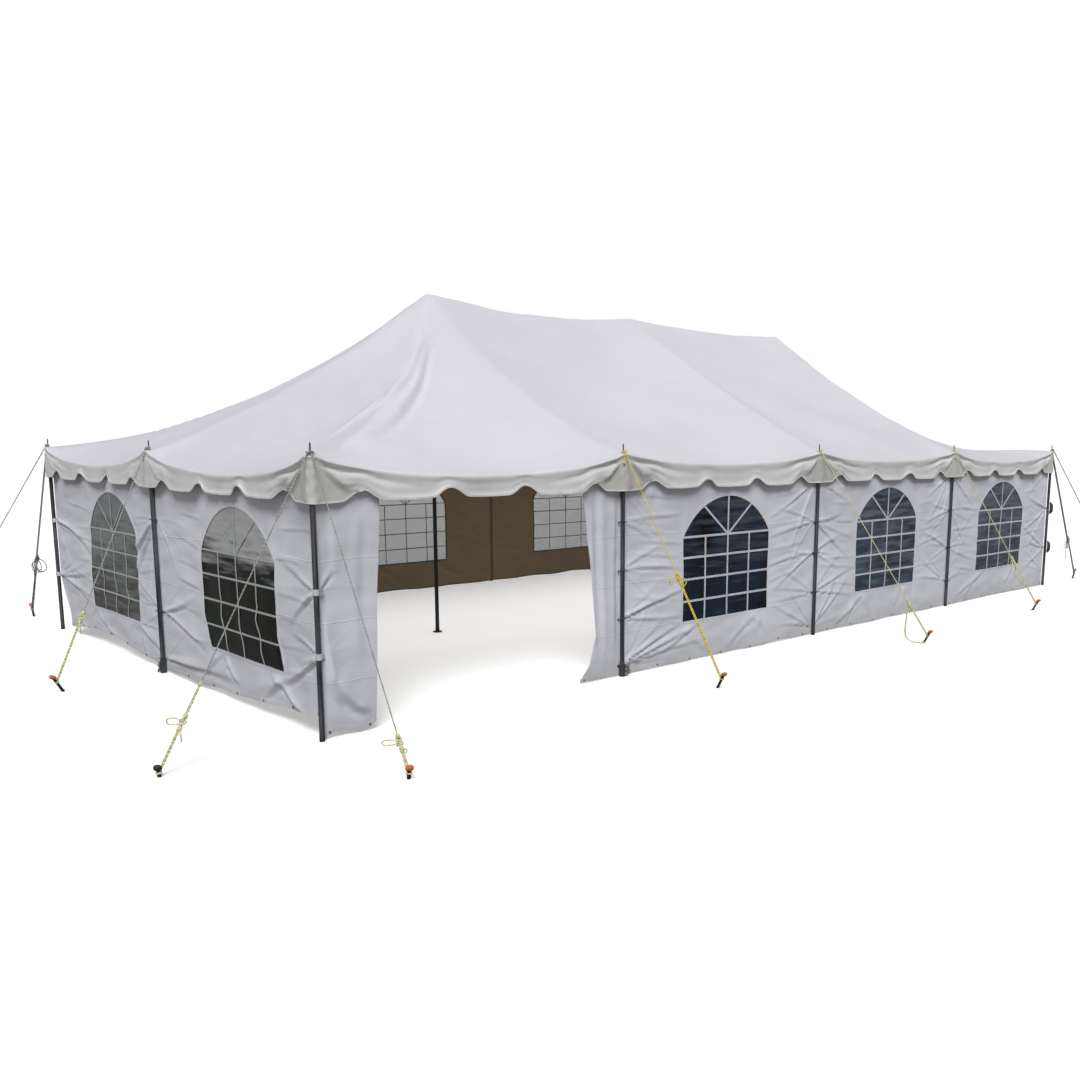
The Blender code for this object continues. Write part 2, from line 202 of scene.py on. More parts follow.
class Shells:
    """Closed shells that are gathered into one piece."""

    def __init__(self) -> None:
        """Start with no shell."""
        self.points: list[list[float]] = []
        self.faces: list[tuple[int, ...]] = []

    def rings(self, rings: Points, closed: bool = False) -> None:
        """Skin a row of rings, and cap its ends unless it closes on itself.

        Args:
            rings: points in the shape (rings, sides, 3).
            closed: whether the last ring joins the first.
        """
        rings[..., 2] = np.maximum(rings[..., 2], 0.0)
        count, sides = rings.shape[:2]
        index = len(self.points) + np.arange(count * sides).reshape(count, sides)
        self.points += rings.reshape(-1, 3).tolist()
        following = np.roll(index, -1, 0) if closed else index[1:]
        for low, high in zip(index.tolist(), following.tolist()):
            for side in range(sides):
                after = (side + 1) % sides
                self.faces.append((low[side], low[after], high[after], high[side]))
        if not closed:
            self.faces += [tuple(index[0][::-1].tolist()), tuple(index[-1].tolist())]

    def tube(self, path: Points | list, radius: Points | float, lay: float = 0.0, sides: int = 9) -> None:
        """Run a round or laid tube along a path.

        Args:
            path: points it follows.
            radius: its radius, or one for each point.
            lay: length of one turn of its three strands, or 0 for a round tube.
            sides: points round it.
        """
        path = np.asarray(path, float)
        steps = np.gradient(path, axis=0)
        along = steps / np.linalg.norm(steps, axis=1, keepdims=True)
        first = np.cross(along[0], (0.31, 0.17, 0.93))
        across = [first / np.linalg.norm(first)]
        for direction in along[1:]:
            turned = across[-1] - direction * np.dot(across[-1], direction)
            across.append(turned / np.linalg.norm(turned))
        across = np.array(across)
        up = np.cross(along, across)
        angle = np.arange(sides) * 2 * math.pi / sides
        size = np.broadcast_to(np.asarray(radius, float), (len(path),))[:, None]
        turn = angle[None, :]
        if lay:
            gone = np.concatenate([[0.0], np.cumsum(np.linalg.norm(np.diff(path, axis=0), axis=1))])
            turn = turn + 2 * math.pi * gone[:, None] / lay
            size = size * (1 + 0.17 * np.cos(3 * angle))[None, :]
        ring = across[:, None] * np.cos(turn)[..., None] + up[:, None] * np.sin(turn)[..., None]
        self.rings(path[:, None] + ring * size[..., None])

    def ribbon(self, middle: Points, across: Points, out: Points, width: float,
               thickness: float, closed: bool = False) -> None:
        """Lay a flat tape along a path.

        Args:
            middle: points on its centre line, shape (count, 3).
            across: unit vector over its width, or one for each point.
            out: unit vector over its thickness, or one for each point.
            width: width in metres.
            thickness: thickness in metres.
            closed: whether it joins its own start.
        """
        side, rise = across * width / 2, out * thickness / 2
        self.rings(np.stack([middle - side - rise, middle + side - rise,
                             middle + side + rise, middle - side + rise], axis=1), closed)

    def knot(self, centre: Vector, run: Vector, side: Vector, size: float, radius: float) -> None:
        """Tie a knot of rope.

        Args:
            centre: its middle.
            run: unit direction of the rope through it.
            side: unit direction across the rope.
            size: half its width.
            radius: radius of the rope.
        """
        third = run.cross(side)
        path = []
        for k in range(61):
            t = 2 * math.pi * k / 60
            path.append(centre + (side * (math.sin(t) + 2 * math.sin(2 * t))
                                  + run * (math.cos(t) - 2 * math.cos(2 * t)) * 1.3
                                  - third * math.sin(3 * t) * 1.2) * (size / 3))
        self.tube(path, radius, lay=0.05)

    def turned(self, profile: list[tuple[float, float]], foot: tuple[float, float],
               sides: int = 20, lean: tuple[float, float] = (0.0, 0.0)) -> None:
        """Turn a profile round an upright or leaning axis.

        Args:
            profile: radius and height of each ring, from bottom to top.
            foot: plan position of the axis on the ground.
            sides: points round it.
            lean: sideways travel of the axis for each metre of height.
        """
        angle = np.arange(sides) * 2 * math.pi / sides
        circle = np.stack([np.cos(angle), np.sin(angle), np.zeros(sides)], axis=1)
        rings = [np.array((foot[0] + lean[0] * z, foot[1] + lean[1] * z, z)) + circle * radius
                 for radius, z in profile]
        self.rings(np.array(rings))

    def hoop(self, centre: tuple | Vector, normal: Vector, radius: float, wire: float,
             sides: int = 14) -> None:
        """Place a small ring, such as an eyelet.

        Args:
            centre: its middle.
            normal: direction of its axis.
            radius: radius of its middle line.
            wire: radius of its section.
            sides: points round the ring.
        """
        turn = Vector(normal).to_track_quat("Z", "Y")
        rings = []
        for k in range(sides):
            angle = 2 * math.pi * k / sides
            ray = Vector((math.cos(angle), math.sin(angle), 0))
            rings.append([Vector(centre) + turn @ (ray * (radius + wire * math.cos(a))
                                                   + UP * (wire * math.sin(a)))
                          for a in (2 * math.pi * s / 6 for s in range(6))])
        self.rings(np.array(rings, float), closed=True)

    def piece(self, name: str, material: bpy.types.Material, slot: str) -> bpy.types.Object:
        """Make the piece from all shells so far.

        Args:
            name: name of the piece.
            material: its material.
            slot: not used.

        Returns:
            The new object.
        """
        return add_piece(name, self.points, self.faces, [material], closed=True)


# Finishes

def add_node(tree: bpy.types.NodeTree, kind: str, inputs: dict | None = None,
             **settings: object) -> bpy.types.Node:
    """Add a node with its settings, values and links.

    Args:
        tree: node tree it goes into.
        kind: Blender's name of the node type, without ShaderNode.
        inputs: value, output socket or node for each input, by its name or number.
        settings: attributes of the node.

    Returns:
        The new node.
    """
    node = tree.nodes.new("ShaderNode" + kind)
    for key, value in settings.items():
        setattr(node, key, value)
    set_inputs(tree, node, inputs or {})
    return node


def set_inputs(tree: bpy.types.NodeTree, node: bpy.types.Node, inputs: dict) -> None:
    """Give a node's inputs their values and links.

    Args:
        tree: node tree it is in.
        node: the node.
        inputs: value, output socket or node for each input, by its name or number.
    """
    for key, value in inputs.items():
        if isinstance(value, bpy.types.Node):
            value = value.outputs[0]
        if isinstance(value, bpy.types.NodeSocket):
            tree.links.new(value, node.inputs[key])
        else:
            node.inputs[key].default_value = value


def start_material(name: str, **sockets: object) -> tuple:
    """Make a material with its shader's plain values.

    Args:
        name: name of the material.
        sockets: shader values, with _ for each space in the socket's name.

    Returns:
        The material, its tree, its shader and its object coordinates.
    """
    material = bpy.data.materials.new(name)
    material.use_nodes = True
    tree = material.node_tree
    shader = tree.nodes["Principled BSDF"]
    for key, value in sockets.items():
        shader.inputs[key.replace("_", " ")].default_value = value
    place = add_node(tree, "TexCoord").outputs["Object"]
    return material, tree, shader, place


def mottle(tree: bpy.types.NodeTree, place: object, scale: tuple, colours: tuple,
           low: float = 0.35, high: float = 0.65) -> object:
    """Colour that drifts between two tones in soft patches.

    Args:
        tree: node tree.
        place: coordinate socket.
        scale: patches for each metre along X, Y and Z.
        colours: the two tones as hex colours or sockets.
        low: noise value of the first tone.
        high: noise value of the second tone.

    Returns:
        The colour socket.
    """
    spread = add_node(tree, "Mapping", {"Vector": place, "Scale": scale})
    noise = add_node(tree, "TexNoise", {"Vector": spread, "Scale": 1.0, "Detail": 4.0, "Roughness": 0.55})
    share = add_node(tree, "MapRange", {"Value": noise.outputs["Fac"], "From Min": low, "From Max": high})
    first, second = (linear(c) if isinstance(c, str) else c for c in colours)
    mixed = add_node(tree, "Mix", {"Factor": share, 6: first, 7: second}, data_type="RGBA")
    return mixed.outputs[2]


@dataclass(frozen=True)
class CoatedPolyester:
    """Polyester cloth with a vinyl coat rolled on hot: an even, slightly silky white."""

    name: str
    colour: str
    shade: str
    soil: str
    roughness: float = 0.55
    crease_gap: float = 0.0
    soil_height: float = 0.0

    def material(self) -> bpy.types.Material:
        """Make the material.

        Returns:
            The material.
        """
        material, tree, shader, place = start_material(
            self.name, Roughness=self.roughness, IOR=1.5, Sheen_Weight=0.12, Sheen_Roughness=0.4,
            Metallic=0.0)
        tint = mottle(tree, place, (0.7, 0.7, 0.9), (self.colour, self.shade))
        height = add_node(tree, "SeparateXYZ", {0: place}).outputs["Z"]
        if self.soil_height:
            # Splashed soil fades out above the hem and gives the sheet its used look
            near = add_node(tree, "MapRange", {"Value": height, "From Min": 0.0,
                            "From Max": self.soil_height, "To Min": 0.75, "To Max": 0.0})
            specks = add_node(tree, "TexNoise",
                              {"Vector": place, "Scale": 9.0, "Detail": 6.0, "Roughness": 0.7})
            patch = add_node(tree, "Math", {0: near, 1: specks.outputs["Fac"]}, operation="MULTIPLY")
            tint = add_node(tree, "Mix", {"Factor": patch, 6: tint, 7: linear(self.soil)},
                            data_type="RGBA").outputs[2]
        # Small grey scuffs from handling, a few centimetres long
        scuffs = add_node(tree, "TexNoise",
                          {"Vector": place, "Scale": 3.1, "Detail": 8.0, "Roughness": 0.65})
        worn = add_node(tree, "MapRange", {"Value": scuffs.outputs["Fac"], "From Min": 0.66,
                        "From Max": 0.78, "To Min": 0.0, "To Max": 0.35})
        tint = add_node(tree, "Mix", {"Factor": worn, 6: tint, 7: linear(self.soil)},
                        data_type="RGBA").outputs[2]
        # The weave's threads are 0.7 mm apart, too fine to show, so they are drawn 5 mm apart
        threads = add_node(tree, "TexVoronoi", {"Vector": place, "Scale": 200.0})
        relief = add_node(tree, "Bump",
                          {"Height": threads.outputs["Distance"], "Strength": 0.06, "Distance": 0.002})
        crumple = add_node(tree, "TexNoise", {"Vector": place, "Scale": 5.5, "Detail": 8.0,
                           "Roughness": 0.6, "Distortion": 0.6})
        relief = add_node(tree, "Bump", {"Height": crumple.outputs["Fac"], "Strength": 0.17,
                          "Distance": 0.03, "Normal": relief})
        if self.crease_gap:
            relief = self.packing_creases(tree, place, height, relief)
        set_inputs(tree, shader, {"Base Color": tint, "Normal": relief})
        return material

    def packing_creases(self, tree: bpy.types.NodeTree, place: object, height: object,
                        relief: bpy.types.Node) -> bpy.types.Node:
        """Add the level creases of a sheet that was packed folded.

        Args:
            tree: node tree.
            place: coordinate socket.
            height: socket of the height above ground.
            relief: bump node that they are laid over.

        Returns:
            The bump node with the creases.
        """
        wander = add_node(tree, "TexNoise", {"Vector": place, "Scale": 1.7, "Detail": 2.0})
        bent = add_node(tree, "Math",
                        {0: wander.outputs["Fac"], 1: 0.07, 2: height}, operation="MULTIPLY_ADD")
        away = add_node(tree, "Math", {0: bent, 1: self.crease_gap / 2}, operation="PINGPONG")
        line = add_node(tree, "MapRange", {"Value": away, "From Min": 0.0, "From Max": 0.008,
                        "To Min": 1.0, "To Max": 0.0}, interpolation_type="SMOOTHSTEP")
        broken = add_node(tree, "TexNoise", {"Vector": place, "Scale": 2.3, "Detail": 1.0})
        shown = add_node(tree, "Math", {0: line, 1: broken.outputs["Fac"]}, operation="MULTIPLY")
        return add_node(tree, "Bump", {"Height": shown, "Strength": 0.3, "Distance": 0.010,
                        "Normal": relief})


@dataclass(frozen=True)
class ClearVinyl:
    """Calendered clear vinyl: glossy, with long ripples from its roll; its colour is painted shade and
    reflection.
    """

    name: str
    shade_through_pane: str
    second: str
    reflection_tint: str
    cover: tuple[float, float]
    reflection_share: tuple[float, float]
    reflection_z: tuple[float, float] = (0.4, 1.6)
    shine: float = 0.5

    def material(self) -> bpy.types.Material:
        """Make the material.

        Returns:
            The material.
        """
        material, tree, shader, place = start_material(self.name, Roughness=0.14, IOR=1.53,
                                                       Specular_IOR_Level=self.shine)
        height = add_node(tree, "SeparateXYZ", {0: place}).outputs["Z"]
        # Ripples are about 60 mm high and half a metre long, as the sheet came off its roll
        spread = add_node(tree, "Mapping", {"Vector": place, "Scale": (1.1, 1.1, 9.0)})
        ripple = add_node(tree, "TexNoise", {"Vector": spread, "Scale": 2.0, "Detail": 3.0}).outputs["Fac"]
        # Lighter towards the top as a painted reflection; nearly opaque, so that the painted shade shows
        reflected, cover = (
            add_node(tree, "MapRange",
                     {"Value": height, "From Min": self.reflection_z[0], "From Max": self.reflection_z[1],
                      "To Min": ends[0], "To Max": ends[1]})
            for ends in (self.reflection_share, self.cover))
        share = add_node(tree, "Math", {0: ripple, 1: 2.6, 2: reflected},
                         operation="MULTIPLY_ADD", use_clamp=True)
        # Dark tones: painted shade of the tent's inside seen through the pane
        ground = mottle(tree, place, (1.9, 1.9, 0.7), (self.shade_through_pane, self.second), 0.42, 0.58)
        tint = add_node(tree, "Mix", {"Factor": share, 6: ground, 7: linear(self.reflection_tint)}, data_type="RGBA")
        relief = add_node(tree, "Bump", {"Height": ripple, "Strength": 0.22, "Distance": 0.02})
        set_inputs(tree, shader, {"Base Color": tint.outputs[2], "Alpha": cover, "Normal": relief})
        return material


@dataclass(frozen=True)
class WovenTape:
    """Woven polyester tape or webbing: matt, with ribs across its run."""

    name: str
    colour: str
    shade: str
    roughness: float = 0.7

    def material(self) -> bpy.types.Material:
        """Make the material.

        Returns:
            The material.
        """
        material, tree, shader, place = start_material(self.name, Roughness=self.roughness,
                                                       IOR=1.46, Sheen_Weight=0.1)
        tint = mottle(tree, place, (14.0, 14.0, 14.0), (self.colour, self.shade))
        # Ribs of 1.5 mm are drawn 4 mm apart, so that they show
        ribs = add_node(tree, "TexWave", {"Vector": place, "Scale": 40.0, "Distortion": 1.5},
                        bands_direction="DIAGONAL")
        relief = add_node(tree, "Bump",
                          {"Height": ribs.outputs["Fac"], "Strength": 0.25, "Distance": 0.002})
        set_inputs(tree, shader, {"Base Color": tint, "Normal": relief})
        return material


@dataclass(frozen=True)
class GalvanisedSteel:
    """Drawn steel tube dipped in zinc and weathered: dull grey spangle with dark runs."""

    name: str
    colour: str
    dark: str
    rust: str = "#5b4432"
    roughness: float = 0.46
    metallic: float = 0.75

    def material(self) -> bpy.types.Material:
        """Make the material.

        Returns:
            The material.
        """
        material, tree, shader, place = start_material(self.name, Metallic=self.metallic)
        # Zinc crystals grow 8 to 15 mm wide on such tube
        spangle = add_node(tree, "TexVoronoi", {"Vector": place, "Scale": 90.0})
        grain = add_node(tree, "SeparateColor", {0: spangle.outputs["Color"]})
        runs = mottle(tree, place, (30.0, 30.0, 1.6), (self.colour, self.dark), 0.4, 0.62)
        flecked = add_node(tree, "MapRange", {"Value": grain, "To Min": 0.0, "To Max": 0.25})
        tint = add_node(tree, "Mix", {"Factor": flecked, 6: runs, 7: linear(self.dark)},
                        data_type="RGBA").outputs[2]
        height = add_node(tree, "SeparateXYZ", {0: place}).outputs["Z"]
        low = add_node(tree, "MapRange", {"Value": height, "From Min": 0.0, "From Max": 0.14,
                       "To Min": 1.0, "To Max": 0.0})
        eaten = add_node(tree, "TexNoise", {"Vector": place, "Scale": 45.0, "Detail": 5.0})
        rusty = add_node(tree, "Math", {0: low, 1: eaten.outputs["Fac"]}, operation="MULTIPLY")
        tint = add_node(tree, "Mix", {"Factor": rusty, 6: tint, 7: linear(self.rust)},
                        data_type="RGBA").outputs[2]
        gloss = add_node(tree, "MapRange", {"Value": eaten.outputs["Fac"], "From Min": 0.3,
                         "From Max": 0.7, "To Min": self.roughness - 0.08, "To Max": self.roughness + 0.12})
        relief = add_node(tree, "Bump",
                          {"Height": eaten.outputs["Fac"], "Strength": 0.12, "Distance": 0.002})
        set_inputs(tree, shader, {"Base Color": tint, "Roughness": gloss, "Normal": relief})
        return material


@dataclass(frozen=True)
class LaidRope:
    """Three-strand polypropylene rope: hard shiny filaments gone chalky outdoors."""

    name: str
    colour: str
    chalk: str

    def material(self) -> bpy.types.Material:
        """Make the material.

        Returns:
            The material.
        """
        material, tree, shader, place = start_material(self.name, Roughness=0.6, IOR=1.49,
                                                       Sheen_Weight=0.15)
        tint = mottle(tree, place, (16.0, 16.0, 16.0), (self.colour, self.chalk), 0.35, 0.62)
        # Filaments of 0.3 mm are drawn 3 mm apart
        fibres = add_node(tree, "TexNoise", {"Vector": place, "Scale": 330.0, "Detail": 2.0})
        relief = add_node(tree, "Bump",
                          {"Height": fibres.outputs["Fac"], "Strength": 0.4, "Distance": 0.002})
        set_inputs(tree, shader, {"Base Color": tint, "Normal": relief})
        return material


@dataclass(frozen=True)
class SprayedCoat:
    """Paint or moulded plastic with scuffs that show what is under it."""

    name: str
    colour: str
    scuff: str
    roughness: float

    def material(self) -> bpy.types.Material:
        """Make the material.

        Returns:
            The material.
        """
        material, tree, shader, place = start_material(self.name, Roughness=self.roughness, IOR=1.5)
        tint = mottle(tree, place, (70.0, 70.0, 70.0), (self.colour, self.scuff), 0.5, 0.8)
        grit = add_node(tree, "TexNoise", {"Vector": place, "Scale": 260.0})
        relief = add_node(tree, "Bump", {"Height": grit.outputs["Fac"], "Strength": 0.2, "Distance": 0.001})
        set_inputs(tree, shader, {"Base Color": tint, "Normal": relief})
        return material


# Roof, valance and walls are one cloth; the roof's colour is set darker than the others to offset the
# stronger light on it: painted shade.
ROOF_CLOTH = CoatedPolyester("roof_coated_polyester", "#d3d2da", "#cccbd3", "#a9a9ac", 0.5)
VALANCE_CLOTH = CoatedPolyester("valance_coated_polyester", "#dcdcdd", "#cfcfcf", "#a3a298", 0.55)
# Gusset: a darker copy of the valance cloth, painted shade of the folded-under gusset at each pin.
GUSSET_SHADE_CLOTH = CoatedPolyester("gusset_painted_shade_polyester", "#cdccc9", "#bcbbb6", "#8d8b82", 0.6)
WALL_CLOTH = CoatedPolyester("wall_coated_polyester", "#dcdde5", "#d3d4dc", "#9fa095", 0.5,
                             crease_gap=0.45, soil_height=0.22)
# Inner face: its brown is painted shade of the tent's dim inside, warmed as painted light let through the
# cloth.
INNER_FACE_SHADE_CLOTH = CoatedPolyester("lining_scrim_polyester", "#75634a", "#685640", "#4b4033", 0.7,
                               crease_gap=0.45)
# Painted shadow: the dark strip that each pole casts through the backlit back wall.
POLE_SHADOW_CLOTH = CoatedPolyester("painted_pole_shadow_polyester", "#5b3d28", "#4c3220", "#3b2a1d", 0.7)
VALANCE_LINING = CoatedPolyester("valance_back_polyester", "#bdbbae", "#aeac9d", "#8f8d7e", 0.65)
# Each window gets a copy of the same clear vinyl, painted with the shade and reflection seen on that pane.
FRONT_VINYLS = (
    ClearVinyl("front_calendered_vinyl_1", "#07090a", "#1a283d", "#4c565c", (0.995, 0.98), (-1.6, -0.9),
               shine=0.18),
    ClearVinyl("front_calendered_vinyl_2", "#18202a", "#2a394d", "#66727c", (0.985, 0.975), (-1.2, -0.9)),
    ClearVinyl("front_calendered_vinyl_3", "#2b333d", "#3c4858", "#69727d", (0.98, 0.975), (-1.1, -0.8)))
LEFT_VINYLS = (
    ClearVinyl("left_calendered_vinyl_1", "#0c110b", "#171d14", "#b0b2b1", (1.0, 0.97), (-2.4, 0.2),
               (0.75, 1.55), 0.12),
    ClearVinyl("left_calendered_vinyl_2", "#2a2e22", "#40443a", "#7d8184", (0.98, 0.95), (-1.3, 0.0)))
RIGHT_VINYLS = (
    ClearVinyl("right_calendered_vinyl", "#3b3e3a", "#4c504a", "#85878a", (0.93, 0.9), (-1.4, -0.5)),)
BACK_VINYLS = (
    ClearVinyl("back_calendered_vinyl", "#4c4f4c", "#565a56", "#6d6f6c", (0.56, 0.50), (-1.2, -0.9)),)
BAR_TAPE = WovenTape("white_woven_tape", "#ccd1d9", "#bcc1c9")
# A greyer copy of the white tape, for the left windows' bars.
GREY_BAR_TAPE = WovenTape("grey_woven_tape", "#b3b6b4", "#a2a5a3")
BINDING_TAPE = WovenTape("edge_binding_tape", "#e4e4e2", "#cfcfca")
STRAP_TAPE = WovenTape("white_tie_webbing", "#cfd1d4", "#b5b7ba")
FOOT_TAPE = WovenTape("soiled_tie_webbing", "#8d8f80", "#55574d")
DARK_STRAP_TAPE = WovenTape("black_tie_webbing", "#2b2c2e", "#44464a")
POLE_ZINC = GalvanisedSteel("weathered_galvanised_tube", "#6c6f73", "#3c3e41")
# The centre poles' near black is painted shade of the tent's inside on grey steel tube.
CENTRE_POLE_SHADE = GalvanisedSteel("steel_tube_painted_shade", "#2a2b2d", "#17181a", metallic=0.4)
EYELET_ZINC = GalvanisedSteel("pressed_zinc_eyelet", "#8d9094", "#5a5c60", rust="#8d9094")
DARK_EYELET = GalvanisedSteel("tarnished_zinc_eyelet", "#4d4f52", "#2c2d2f", rust="#3a3b3d")
PALE_ROPE = LaidRope("faded_yellow_polypropylene", "#cfcf86", "#dcdcae")
YELLOW_ROPE = LaidRope("bright_yellow_polypropylene", "#d8bf2c", "#e2d159")
# Grey rope for the upper runs of most guys; their lower runs are pale.
GREY_ROPE = LaidRope("grey_polypropylene", "#8f9188", "#a9aba2")
STAKE_PAINT = SprayedCoat("black_sprayed_steel", "#151515", "#3a3531", 0.5)
CAP_PLASTIC = SprayedCoat("orange_moulded_cap", "#cd6a36", "#a04a24", 0.5)
MUDDY_CAP = SprayedCoat("muddied_moulded_cap", "#2b231c", "#57402c", 0.7)


class Finishes:
    """Materials that are made once and shared."""

    def __init__(self) -> None:
        """Start with no material."""
        self.made: dict[str, bpy.types.Material] = {}

    def get(self, finish: object) -> bpy.types.Material:
        """Return the material of a finish, making it on its first use.

        Args:
            finish: one of the finishes above.

        Returns:
            The material.
        """
        if finish.name not in self.made:
            self.made[finish.name] = finish.material()
        return self.made[finish.name]


# The tent's plan

class Side(Enum):
    """The four sides of the tent, with the plan direction that each faces."""

    FRONT = (0, -1)
    BACK = (0, 1)
    LEFT = (-1, 0)
    RIGHT = (1, 0)

    @property
    def word(self) -> str:
        """Lower-case name of the side, as the frame's nodes use it."""
        return self.name.lower()

    @property
    def long(self) -> bool:
        """Whether the side runs along X."""
        return self.value[0] == 0


@dataclass(frozen=True)
class TentPlan:
    """Plan, heights and sags of the tent."""

    bay: float
    half_length: float
    half_depth: float
    eave_z: float
    peak_z: float
    ridge_dips: tuple = (0.0, 0.10, 0.05, 0.0)
    eave_sags: dict = field(default_factory=lambda: {
        Side.FRONT: (0.15, 0.09, 0.09, 0.13), Side.BACK: (0.15, 0.10, 0.10, 0.15),
        Side.LEFT: (0.16, 0.16), Side.RIGHT: (0.16, 0.16)})
    seam_sags: dict = field(default_factory=lambda: {
        Side.FRONT: (0.0, 0.19, 0.06, 0.06), Side.BACK: (0.0, 0.12, 0.06, 0.12)})
    end_seam_sag: float = 0.13
    hip_sag: float = 0.38
    pad: float = 0.03
    overhang: float = 0.055
    sag_power: float = 0.6
    pole_radius: float = 0.021

    @classmethod
    def from_frame(cls) -> "TentPlan":
        """Read the plan from the frame's poles and roof.

        Returns:
            The plan.
        """
        corner_low, corner_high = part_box("side_pole_front_left_corner")
        next_low, next_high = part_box("side_pole_front_1")
        corner = (corner_low + corner_high) / 2
        bay = (next_low.x + next_high.x) / 2 - corner.x
        pin_above_canopy = 0.09
        return cls(bay=bay, half_length=-corner.x, half_depth=-corner.y,
                   eave_z=corner_high.z - pin_above_canopy, peak_z=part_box("roof_canopy")[1].z)

    def reach(self, side: Side) -> float:
        """Distance of a side's pole line from the middle of the tent."""
        return self.half_depth if side.long else self.half_length

    def half(self, side: Side) -> float:
        """Half the length of a side."""
        return self.half_length if side.long else self.half_depth

    def share(self, distance: Points) -> Points:
        """Share of a bay at a distance from its pole, past the flat pad on it."""
        return np.clip((distance - self.pad) / (self.bay - 2 * self.pad), 0.0, 1.0)

    def dip(self, share: Points, down: Points | float = 1.0) -> Points:
        """Dip between two poles, 0 at each and 1 in the middle, softer up the roof."""
        power = self.sag_power + 0.35 * ease(1 - np.asarray(down), 0.0, 0.35)
        return np.clip(np.sin(math.pi * share), 0.0, 1.0) ** power

    def bay_of(self, along: Points, half: float) -> tuple[Points, Points]:
        """Bay number and share of that bay at a place along a side.

        Args:
            along: place along X or Y.
            half: half the length of the side.

        Returns:
            Bay numbers and shares.
        """
        count = round(2 * half / self.bay)
        index = np.clip(np.floor((along + half) / self.bay + 1e-9), 0, count - 1).astype(int)
        return index, self.share(along + half - index * self.bay)

    def eave_height(self, side: Side, along: Points) -> Points:
        """Height of the roof's edge.

        Args:
            side: side of the tent.
            along: place along it.

        Returns:
            Heights in metres.
        """
        index, share = self.bay_of(along, self.half(side))
        return self.eave_z - np.take(self.eave_sags[side], index) * self.dip(share)

    def roof_height(self, x: Points, y: Points) -> Points:
        """Height of the roof's upper face.

        Args:
            x: places along X.
            y: places along Y.

        Returns:
            Heights in metres.
        """
        index, share = self.bay_of(x, self.half_length)
        front = y < 0

        def pick(table: dict, at: Points) -> Points:
            """Value of the front or the back table at some bay numbers."""
            return np.where(front, np.take(table[Side.FRONT], at), np.take(table[Side.BACK], at))

        down = self.share(np.abs(y))
        ridge = self.peak_z - np.take(self.ridge_dips, index) * 4 * share * (1 - share)
        eave = self.eave_z - pick(self.eave_sags, index) * self.dip(share, down)
        first = pick(self.seam_sags, index)
        second = pick(self.seam_sags, np.minimum(index + 1, 3))
        sag = first + (second - first) * share
        between = ridge + (eave - ridge) * down - sag * 4 * down * (1 - down)

        across = self.share(np.abs(x) - self.bay)
        # The hip is a soft bend rather than a hard line
        far = np.maximum(across, down)
        bend = 0.03 * ease(far, 0.0, 0.25) * ease(1 - far, 0.0, 0.15)
        turn = np.divide(np.minimum(across, down), far, out=np.zeros_like(far), where=far > 0)
        far = far + (np.hypot(across - down, bend) - np.abs(across - down)) / 2
        long_side = down >= across
        end_sag = np.where(x < 0, self.eave_sags[Side.LEFT][0], self.eave_sags[Side.RIGHT][0])
        eave_sag = np.where(long_side, pick(self.eave_sags, np.where(x < 0, 0, 3)), end_sag)
        seam = np.where(long_side, pick(self.seam_sags, np.where(x < 0, 1, 3)), self.end_seam_sag)
        edge = self.eave_z - eave_sag * self.dip(turn, far)
        sag = seam + (self.hip_sag - seam) * turn
        hip = self.peak_z + (edge - self.peak_z) * far - sag * 4 * far * (1 - far)
        return np.where(np.abs(x) > self.bay, hip, between)

    def pole_places(self) -> dict[str, tuple[float, float]]:
        """Plan positions of the side poles by name.

        Returns:
            Name to (x, y).
        """
        places = {}
        for row, y in (("front", -self.half_depth), ("back", self.half_depth)):
            for count, x in enumerate((-self.half_length, -self.bay, 0.0, self.bay, self.half_length)):
                word = {0: "left_corner", 4: "right_corner"}.get(count, str(count))
                places[f"{row}_{word}"] = (x, y)
        places["left_middle"] = (-self.half_length, 0.0)
        places["right_middle"] = (self.half_length, 0.0)
        return places


# The roof sheet

@dataclass(frozen=True)
class Fold:
    """One fold of a sheet, from a start to an end on its face."""

    start: tuple[float, float]
    end: tuple[float, float]
    height: float
    width: float
    bow: float = 0.0
    fan: bool = False

    def rise(self, u: Points, z: Points) -> Points:
        """Distance that the fold stands off the sheet.

        Args:
            u: places along the sheet.
            z: heights.

        Returns:
            Distances in metres.
        """
        run, climb = self.end[0] - self.start[0], self.end[1] - self.start[1]
        length = math.hypot(run, climb)
        du, dz = run / length, climb / length
        along = ((u - self.start[0]) * du + (z - self.start[1]) * dz) / length
        inside = np.clip(along, 0.0, 1.0)
        across = (z - self.start[1]) * du - (u - self.start[0]) * dz
        across = (across - self.bow * 4 * inside * (1 - inside)) * math.copysign(1, run)
        if self.fan:
            size = self.width * (0.2 + 0.8 * inside)
            fade = ease(along, -0.02, 0.06) * (1 - inside) ** 0.8 * (along < 1)
        else:
            size = self.width
            fade = ease(along, -0.05, 0.3) * ease(1 - along, -0.05, 0.3)
        gap = across / size
        # Slack cloth is soft above its tuck and steep below it
        hump = np.where(gap > 0, np.exp(-np.abs(gap) ** 1.5), np.exp(-(gap / 0.5) ** 2))
        return self.height * fade * (hump - 0.5 * np.exp(-((gap + 1.0) / 0.5) ** 2))


